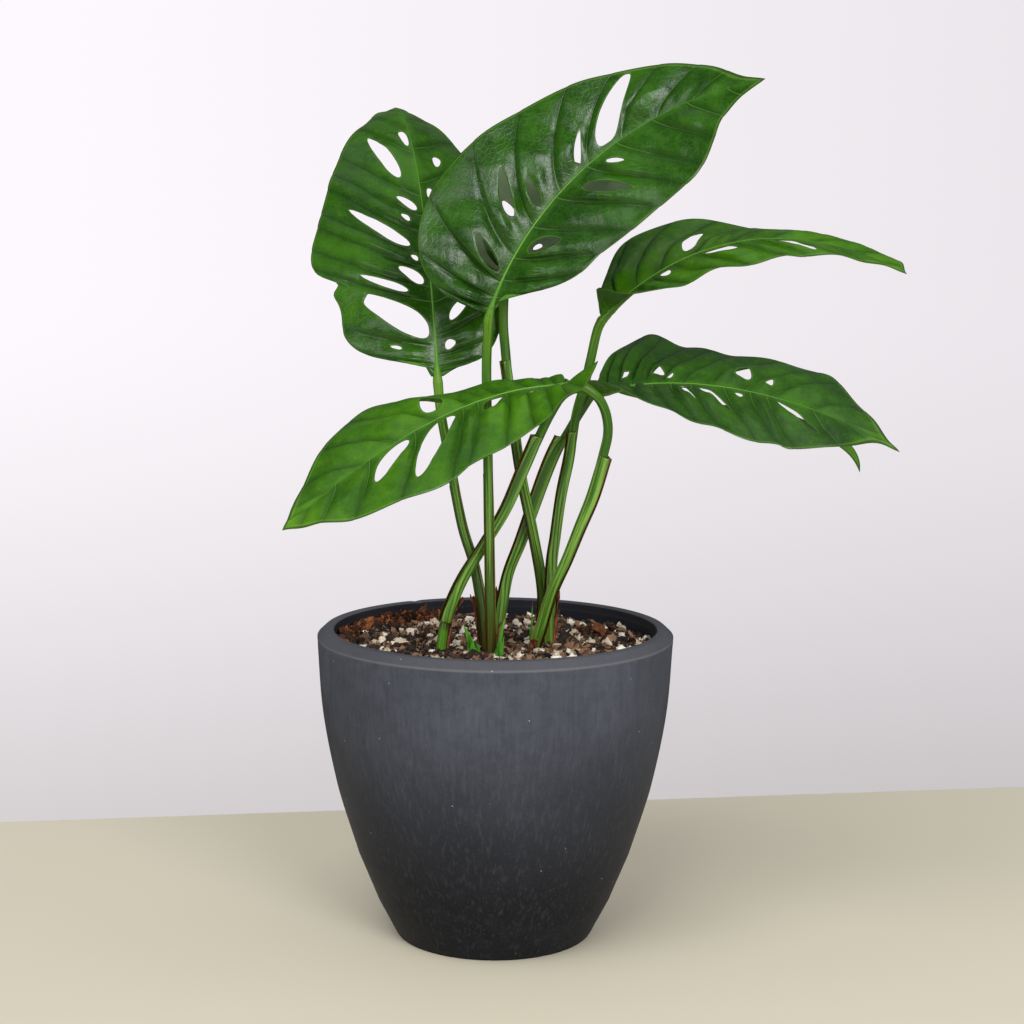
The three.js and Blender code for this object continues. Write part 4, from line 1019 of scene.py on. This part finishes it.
stalk_green, add = new_material("ribbed_stalk_skin")
down, blush, stub = (add("kept", attribute_name=key) for key in ("down", "blush", "stub"))
grain = add("kept_vector", attribute_name="grain")
ribs = add("noise", grain, per(0.7), 2)
streak = add("noise", grain, per(1.4), 4, 0.6)
broad = add("noise", grain, per(5), 2)
flushed = add("times_plus", add("band", streak, 0.56, 0.46), 0.75, 0.25)
shade = add("mix", add("band", down, 0.0, 0.3), "#557f1c", "#346110")
shade = paint(add, shade,
              ("#2f6a14", 1, (down, 0.03, -0.08)),
              ("#659a34", 0.7, (down, 0.03, -0.12), (down, -0.8, -0.1)),
              # Pale streaks along the stalk: partly random tone, partly a painted highlight in
              # strips.
              ("#86b048", 0.5, (streak, 0.52, 0.64)),
              ("#1d3f0c", 0.6, (streak, 0.46, 0.36)),
              (FLUSH, 0.8, (ribs, 0.46, 0.38), (down, 0.35, 0.8)),
              (FLUSH, 1, blush, flushed),
              ("#5a9a22", 0.5, stub),
              ("#b58f3c", 0.8, (broad, 0.66, 0.72), (down, 0.4, 0.55)))
add("output", finish(add, shade, add("times_plus", streak, 0.2, 0.28),
                     add("times_plus", ribs, 0.6, streak), 0.45, 0.25,
                     {"IOR": 1.45, "Specular IOR Level": 0.35, "Subsurface Weight": 0.06,
                      "Subsurface Scale": 1.5 * MM}))

# %% [markdown]
# ### Finish: the sheath's papery skin
# The same skin, thinner and paler, ribbed along the stalk, with margins that have dried
# to a thin brown line and a foot that is stained by the soil.

# %% Make the sheath's skin
sheath_green, add = new_material("paper_sheath_skin")
edge, down = add("kept", attribute_name="edge"), add("kept", attribute_name="down")
grain = add("kept_vector", attribute_name="grain")
streak = add("noise", grain, per(1.3), 4, 0.6)
broad = add("noise", grain, per(4.5), 3)
fine = add("noise", grain, per(0.5), 2)
ribbed = add("times_plus", fine, 0.45, add("times", streak, 0.55))
shade = add("mix", add("band", ribbed, 0.42, 0.6), "#29560b", "#7aa942")
shade = paint(add, shade,
              ("#b9a24c", 0.8, (broad, 0.64, 0.72)),
              ("#5a2418", 0.7, (fine, 0.42, 0.34), (down, 0.5, 0.75)),
              ("#5c2415", 1, (add("times_plus", streak, -0.5, edge), 0.05, -0.12)),
              ("#6a3420", 0.55, (down, 0.78, 1.0), (streak, 0.42, 0.58)))
add("output", finish(add, shade, 0.3, streak, 0.5, 0.25,
                     {"IOR": 1.45, "Specular IOR Level": 0.35, "Coat Weight": 0.12,
                      "Coat Roughness": 0.18}))

# %% [markdown]
# ## Grow the seven leaves
# Each leaf becomes three pieces that stand in place of its plain solid: the blade, the
# stalk that runs on as the midrib, and the sheath that clasps the stalk.

# %% Make every leaf's blade, stalk and sheath
FIRST_SEED = 40

for number, (name, leaf) in enumerate(LEAVES.items()):
    points, faces, side, (vein, edge, across, along) = blade_arrays(leaf)
    make_piece(name + "_blade", points, faces, [leaf_top, leaf_under, leaf_rim], [name],
               "leaf", side,
               {"vein": vein, "edge": edge, "across": across,
                "lime": smooth_step(leaf["lime"], leaf["limed"], along),
                "young": np.full(len(points), leaf["young"]),
                "dust": np.full(len(points), leaf["dust"])})
    points, faces, kept = stalk_arrays(leaf)
    make_piece(name + "_stalk", points, faces, [stalk_green], [name], "leaf", kept=kept)
    points, faces, kept = sheath_arrays(leaf, FIRST_SEED + number)
    make_piece(name + "_sheath", points, faces, [sheath_green], [name], "leaf", kept=kept)

# %% [markdown]
# ## Dry husks
# The first small scale leaves at each stem's foot have died and dried to red-brown paper
# that still clasps the stem. Torn paper round a pencil looks the same: a patch of a
# cylinder round the leaning stem, flared at its ragged top.

# %% Wrap the dry husks
HUSKS = [("leaf_front", 100, 164, 0.8), ("leaf_front", 350, 166, 0.45),
         ("leaf_back", 165, 177, 0.9), ("leaf_back", 60, 175, 0.8),
         ("leaf_left", 250, 155, 0.7), ("leaf_right_upper", 40, 177, 1.0),
         ("leaf_right_upper", 335, 168, 0.5), ("leaf_between", 90, 175, 0.9),
         ("leaf_right_under", 150, 176, 0.8), ("leaf_right_lower", 10, 177, 0.9)]
HUSK_RADIUS = 3.7
HUSK_THICKNESS = 0.3
HUSK_SEED = 5


def husk_arrays(rng, leaf, heading, top, spread):
    """A grid bent round the stem: across is an angle either side of the heading, up is
    height from just under the soil to a torn top; the radius grows as it rises."""
    path = stalk_path(leaf)
    across, up = np.meshgrid(np.linspace(-1, 1, 15), np.linspace(0, 1, 18), indexing="ij")
    torn = np.convolve(rng.uniform(0.8, 1.0, 17), np.ones(3) / 3, mode="valid")[:, None]
    low = SOIL_LEVEL - 2
    z = low + (top - low) * up * torn
    centre = pick(z, path[:, 2], path[:, :2])
    angle = np.radians(heading) + across * spread * (1 - 0.35 * up)
    radius = HUSK_RADIUS + 0.3 * np.sin(4 * across + 9 * up) + 1.6 * up ** 8
    points = np.stack([centre[..., 0] + radius * np.cos(angle),
                       centre[..., 1] + radius * np.sin(angle), z], -1)
    quads = grid_faces(*z.shape)[:, [0, 3, 2, 1]]
    solid, faces, _ = close_sheet(points.reshape(-1, 3), quads, HUSK_THICKNESS)
    return solid, [faces]


material, add = new_material("dry_husk_paper")
streak = add("noise", add("stretch", add("place"), (1, 1, 0.15)), per(1.4), 5, 0.65)
shade = add("mix", add("band", streak, 0.35, 0.65), "#2e120a", "#94502e")
add("output", finish(add, shade, 0.65, streak, 0.6, 0.3))
rng = np.random.default_rng(HUSK_SEED)
make_piece("dry_husks", *join([husk_arrays(rng, LEAVES[name], *row) for name, *row in HUSKS]),
           [material], sorted({row[0] for row in HUSKS}), "leaf")

# %% [markdown]
# ## Young shoots
# Two new growths have just broken the soil: a broad claw with a second point tucked in
# its hollow, and a slim spear. Each is a fleshy rolled leaf, so a flattened cone swept
# along a short curve gives its form. Bright, tender skin sets them off.

# %% Make the shoots
SHOOTS = {
    "shoot_left": [
        [[[-10.5, -20, 143], [-11.2, -21, 150], [-13.2, -22.5, 157], [-15.6, -24, 163.5]],
         3.3, 2.4],
        [[[-8.3, -19.5, 143], [-8.2, -20.5, 148], [-9.0, -21.5, 152], [-9.6, -22, 155.5]],
         2.1, 1.6],
    ],
    "shoot_right": [
        [[[0.5, -26.5, 143], [1.5, -27.5, 150], [3.2, -28.6, 160], [5.2, -29, 169]], 2.1, 1.5],
        [[[2.6, -26.8, 143], [3.2, -27.6, 149], [4.0, -28.4, 155], [4.6, -28.8, 159]], 1.2, 0.8],
        [[[17.6, 4, 143], [18, 4, 152], [18.5, 4, 162], [18.9, 4, 171]], 1.1, 0.9],
    ],
}
SPEAR_CORNERS = 22


def spear_arrays(rows, wide, high):
    """A rolled young leaf: an oval tube that swells above its foot and closes to a point,
    with a shallow groove along one side where it will open."""
    share = np.linspace(0, 1, 44)
    path = through(rows, share * (len(rows) - 1))
    taper = (0.72 + 0.28 * np.sin(np.pi * np.minimum(share * 2, 1))) * (1 - share ** 1.9)
    from_groove = np.mod(around(SPEAR_CORNERS) + np.pi / 2 + np.pi, 2 * np.pi) - np.pi
    groove = 1 - 0.3 * np.exp(-(from_groove / 0.35) ** 2)
    taper = np.maximum(taper, 0.04)[:, None]
    side = np.tile([1.0, 0.0, 0.0], (len(path), 1))
    points, faces, _ = sweep(path, side, wide * taper * groove, high * taper * groove,
                             SPEAR_CORNERS)
    return points, faces


shoot_green, add = new_material("tender_shoot_skin")
here = add("place")
high = add("axes", here)["Z"]
streak = add("noise", add("stretch", here, (1, 1, 0.12)), per(1.8), 4, 0.6)
shade = add("mix", add("band", streak, 0.38, 0.6), "#1c4a0a", "#4a921e")
shade = paint(add, shade,
              ("#7cb83c", 0.5, (high, 0.152, 0.162)),
              ("#7b6a2c", 1, (high, 0.1655, 0.1695)))
add("output", finish(add, shade, 0.34, streak, 0.4, 0.2,
                     {"IOR": 1.45, "Subsurface Weight": 0.12, "Subsurface Scale": 1.5 * MM}))

for name, spears in SHOOTS.items():
    make_piece(name + "_spears", *join([spear_arrays(*spear) for spear in spears]),
               [shoot_green], [name], "shoot")

# %% [markdown]
# ## The potting mix
# The pot is filled with coarse bark, perlite and fine dark crumbs. A particle system
# would be lost from an exported model, so each chip is real geometry: one rough block
# bent into hundreds of different chips by seeded random numbers, all as arrays.

# %% Lay the soil's bed
SOIL_GAP = 0.5
SOIL_TURNS = 192
SOIL_LUMP = 1.1
SOIL_SINK = 1.6
BED_RINGS = 56


def soil_height(x, y):
    """The bed's level: sines of a few lengths make lumps, finer ones make grit."""
    lumps = (np.sin(x * 0.31 + 1.3) * np.cos(y * 0.27 - 0.4)
             + 0.7 * np.sin(x * 0.53 - y * 0.41 + 2.1) + 0.6 * np.cos(x * 0.19 + y * 0.61))
    return SOIL_LEVEL + SOIL_LUMP * 0.6 * lumps


def bed_height(x, y):
    """The level less the depth of the loose chips, with grit of about a millimetre."""
    grit = np.sin(2.1 * x + 0.7 * y) * np.cos(1.7 * y - 0.9 * x) + np.sin(3.3 * y + 1.1 * x)
    return soil_height(x, y) - SOIL_SINK + 0.35 * grit


bed_radius = cavity_radius(np.array([SOIL_LEVEL]))[0] - SOIL_GAP
turn = around(SOIL_TURNS)
rings = np.linspace(0, 1, BED_RINGS)[1:, None] * bed_radius
x, y = rings * np.cos(turn), rings * np.sin(turn)
wall_z = np.linspace(SOIL_LEVEL - 5, POT_FLOOR + SOIL_GAP, 12)[:, None]
bed = np.vstack([np.stack([x, y, bed_height(x, y)], -1),
                 turned(cavity_radius(wall_z) - SOIL_GAP, turn, wall_z)])[::-1]
bed_points = np.vstack([bed.reshape(-1, 3), [[0, 0, POT_FLOOR + SOIL_GAP]],
                        [[0, 0, bed_height(0, 0)]]])

# %% [markdown]
# ### Finish: composted bark, perlite and coir
# Bark is fibrous and dull, from near black to red-brown, each chip its own tone. Perlite
# is a popped white glass, chalky and dusted with soil. Coir is orange-brown fibre. All
# are rough, so what shows is the change of tone and the small shadows.

# %% Make the soil's materials
def mineral(name, dark, middle, light, grain, depth):
    """Three tones by each chip's own number, broken up by grain of a size in mm."""
    material, add = new_material(name)
    fine = add("noise", add("place"), per(grain), 5, 0.65)
    tone = add("kept", attribute_name="tone")
    mixed = add("times_plus", fine, 0.6, add("times", tone, 0.7))
    shade = add("mix", add("band", mixed, 0.25, 0.62), dark, middle)
    shade = paint(add, shade, (light, 1, (mixed, 0.6, 0.92)))
    add("output", finish(add, shade, 0.8, fine, 0.8, depth))
    return material


bark = mineral("composted_bark", "#080504", "#35251c", "#88674d", 0.9, 0.8)
perlite = mineral("dusty_perlite", "#20170f", "#c4b193", "#fff8ea", 0.9, 1.2)
coir = mineral("coir_fibre", "#180a05", "#482410", "#8a4e22", 1.6, 0.5)

# %% Scatter chips, perlite and crumbs
STEM_FEET = [leaf["stalk"][-1][:2] for leaf in LEAVES.values()]
STEM_FEET += [spears[0][0][1][:2] for spears in SHOOTS.values()]
WALL_LUMPS, TUFT_LUMPS = 210, 26
WALL_CLEARANCE = 2.2
CHIP_SEED = 11


def block(levels):
    """The surface grid of a cube with so many cells a side: points and quads, welded."""
    lattice = np.linspace(-1, 1, levels + 1)
    u, v = np.meshgrid(lattice, lattice, indexing="ij")
    cell = grid_faces(*u.shape)[:, [0, 3, 2, 1]]
    points, quads = [], []
    for axis in range(3):
        for end in (-1, 1):
            grid = np.empty((*u.shape, 3))
            grid[..., axis], grid[..., (axis + 1) % 3], grid[..., (axis + 2) % 3] = end, u, v
            quads.append((cell if end > 0 else cell[:, ::-1]) + len(points) * u.size)
            points.append(grid.reshape(-1, 3))
    points = np.round(np.vstack(points), 6)
    unique, index = np.unique(points, axis=0, return_inverse=True)
    return unique, index.reshape(-1)[np.vstack(quads)]


def turns_about(axis, angles):
    """Rotation matrices about one axis: cosines and sines of the angles."""
    i, j = (axis + 1) % 3, (axis + 2) % 3
    turns = np.tile(np.eye(3), (len(angles), 1, 1))
    turns[:, i, i] = turns[:, j, j] = np.cos(angles)
    turns[:, j, i] = np.sin(angles)
    turns[:, i, j] = -np.sin(angles)
    return turns


def random_turns(rng, count, lean):
    """Rotation matrices: any heading, tipped by up to lean, spun any way about it."""
    heading = turns_about(2, rng.uniform(0, 2 * np.pi, count))
    tipped = turns_about(0, rng.normal(0, lean, count))
    return heading @ tipped @ turns_about(1, rng.normal(0, lean, count))


def scatter(rng, count, shape, size, lift, lean, round_off, rough, clear=3.4, spots=None):
    """Copies of a block: rounded by a share, each point moved at random, sized, turned,
    and set on the bed clear of the stems. Returns points, quads and tones."""
    template, quads = shape
    ball = template / np.linalg.norm(template, axis=1, keepdims=True) * 1.2
    template = template + (ball - template) * round_off
    if spots is None:
        spread = rng.uniform(0, 1, (count * 2, 2))
        r = (bed_radius - WALL_CLEARANCE) * np.sqrt(spread[:, 0])
        spots = np.stack([r * np.cos(spread[:, 1] * 2 * np.pi),
                          r * np.sin(spread[:, 1] * 2 * np.pi)], 1)
    far = np.linalg.norm(spots[:, None] - np.array(STEM_FEET)[None], axis=-1).min(1)
    spots = spots[far > clear][:count]
    count = len(spots)
    sizes = rng.uniform(size[0], size[1], (count, 1)) * np.array(size[2])
    sizes = sizes * rng.uniform(0.7, 1.3, (count, 3)) / 2
    local = template[None] * (1 + rng.normal(0, rough, (count, len(template), 1)))
    local = local + rng.normal(0, rough * 0.6, local.shape)
    local = local * sizes[:, None]
    tipped = np.einsum("nij,nkj->nki", random_turns(rng, count, lean), local)
    base = bed_height(spots[:, 0], spots[:, 1]) + lift * rng.uniform(0.1, 1.0, count)
    centres = np.column_stack([spots, base])
    points = (tipped + centres[:, None]).reshape(-1, 3)
    offsets = (np.arange(count) * len(template))[:, None, None]
    tones = np.repeat(rng.uniform(0, 1, count), len(template))
    return points, (quads[None] + offsets).reshape(-1, 4), tones


rng = np.random.default_rng(CHIP_SEED)
chunk, pebble, crumb = block(2), block(3), block(1)
batches = {
    "bark_chips": [bark, scatter(rng, 900, chunk, (3.5, 9.5, (1, 0.42, 0.28)), 2.4, 0.5,
                                 0.2, 0.17)],
    "bark_shreds": [bark, scatter(rng, 900, chunk, (2.4, 5.0, (1, 0.4, 0.35)), 3.0, 0.6,
                                  0.2, 0.2)],
    "perlite_bits": [perlite, scatter(rng, 330, pebble, (2.0, 6.4, (1, 0.75, 0.65)), 2.8, 1.0,
                                      0.7, 0.2)],
    "soil_crumbs": [bark, scatter(rng, 3200, crumb, (0.8, 2.0, (1, 0.8, 0.7)), 3.4, 1.2,
                                  0.3, 0.15, 2.6)],
}
angle = np.radians(rng.uniform(114, 192, WALL_LUMPS))
out = rng.uniform(bed_radius - 6, bed_radius - 2.6, WALL_LUMPS)
along_wall = turned(out, angle, 0)[:, :2]
tuft = np.column_stack([rng.normal(52, 5, TUFT_LUMPS), rng.normal(28, 3, TUFT_LUMPS)])
batches["coir_lumps"] = [coir, scatter(rng, WALL_LUMPS + TUFT_LUMPS, chunk,
                                       (2.5, 6.5, (1, 0.6, 0.5)), 6.4, 0.7, 0.2, 0.26, 3.4,
                                       np.vstack([along_wall, tuft]))]
make_piece("soil_bed", bed_points, ring_faces(len(bed), SOIL_TURNS), [bark], ["soil"], "soil",
           kept={"tone": np.full(len(bed_points), 0.2)})
for name, (material, (points, quads, tones)) in batches.items():
    rounded = name == "perlite_bits"
    piece = make_piece(name, points, [quads], [material], ["soil"], "soil",
                       kept={"tone": 0.45 + 0.4 * tones if rounded else tones})
    piece.data.polygons.foreach_set("use_smooth", np.full(len(quads), rounded))

# %% [markdown]
# ## Coir along the wall
# A ragged strip of brown coir fibre lies along the wall at the back left, and a small
# tuft of it near the right. Hair curves would not survive an export, so every fibre is a
# thin three-sided tube along a wandering line.

# %% Lay the coir fibres
FIBRE_STEPS = 8
STRIP = 900
TUFT = 160
FIBRE_SEED = 23


def fibres(rng, starts, headings, reach, radius):
    """Tubes of triangular section along lines that wander from their heading."""
    count, rows = len(starts), FIBRE_STEPS + 1
    bends = rng.normal(0, 0.45, (count, FIBRE_STEPS, 3)).cumsum(axis=1) * 0.6
    steps = unit(headings[:, None] + bends) * (reach / FIBRE_STEPS)[:, None, None]
    path = starts[:, None] + np.concatenate(
        [np.zeros((count, 1, 3)), steps.cumsum(axis=1)], axis=1)
    ahead = unit(np.gradient(path, axis=1))
    side = unit(np.cross(ahead, [0.31, 0.22, 0.93]))
    up = np.cross(side, ahead)
    turn = around(3)
    taper = radius[:, None] * np.sin(np.pi * np.linspace(0.12, 0.95, rows)) ** 0.5
    rings = (path[:, :, None] + side[:, :, None] * (taper[..., None] * np.cos(turn))[..., None]
             + up[:, :, None] * (taper[..., None] * np.sin(turn))[..., None])
    quads, _ = ring_faces(rows, 3)
    caps = np.array([[2, 1, 0], [rows * 3 - 3, rows * 3 - 2, rows * 3 - 1]])
    offsets = (np.arange(count) * rows * 3)[:, None, None]
    tones = np.repeat(rng.uniform(0, 1, count), rows * 3)
    return (rings.reshape(-1, 3), (quads[None] + offsets).reshape(-1, 4),
            (caps[None] + offsets).reshape(-1, 3), tones)


rng = np.random.default_rng(FIBRE_SEED)
angle = np.radians(rng.uniform(116, 188, STRIP))
out = rng.uniform(bed_radius - 8, bed_radius - 1.5, STRIP)
spot = turned(out, angle, 0)[:, :2]
rise = 1.5 + (3 + 2.5 * np.sin(angle * 9)) * rng.uniform(0, 1, STRIP)
strip_starts = np.column_stack([spot, bed_height(spot[:, 0], spot[:, 1]) + rise])
strip_ahead = np.stack([-np.sin(angle), np.cos(angle), np.zeros(STRIP)], 1)
tuft_starts = np.column_stack([rng.normal(52, 4.5, TUFT), rng.normal(27, 2.5, TUFT),
                               rng.uniform(148.5, 151.5, TUFT)])
tuft_ahead = unit(rng.normal(0, 1, (TUFT, 3)) * [1, 1, 0.35])
starts = np.vstack([strip_starts, tuft_starts])
ahead = np.vstack([strip_ahead * rng.choice([-1, 1], (STRIP, 1)), tuft_ahead])
points, quads, caps, tones = fibres(rng, starts, ahead, rng.uniform(2, 6, len(starts)),
                                    rng.uniform(0.2, 0.5, len(starts)))
reach = np.linalg.norm(points[:, :2], axis=1, keepdims=True)
points[:, :2] *= np.minimum(1, (bed_radius - 0.3) / reach)
make_piece("coir_strip", points, [quads, caps], [coir], ["soil"], "soil",
           kept={"tone": tones})

# %% Show the two boxes
visual_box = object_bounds()
plain = lambda box: [[float(c) for c in corner] for corner in box]
{"cad": plain(cad_box), "visual": plain(visual_box)}
print("box in metres:", plain(visual_box))
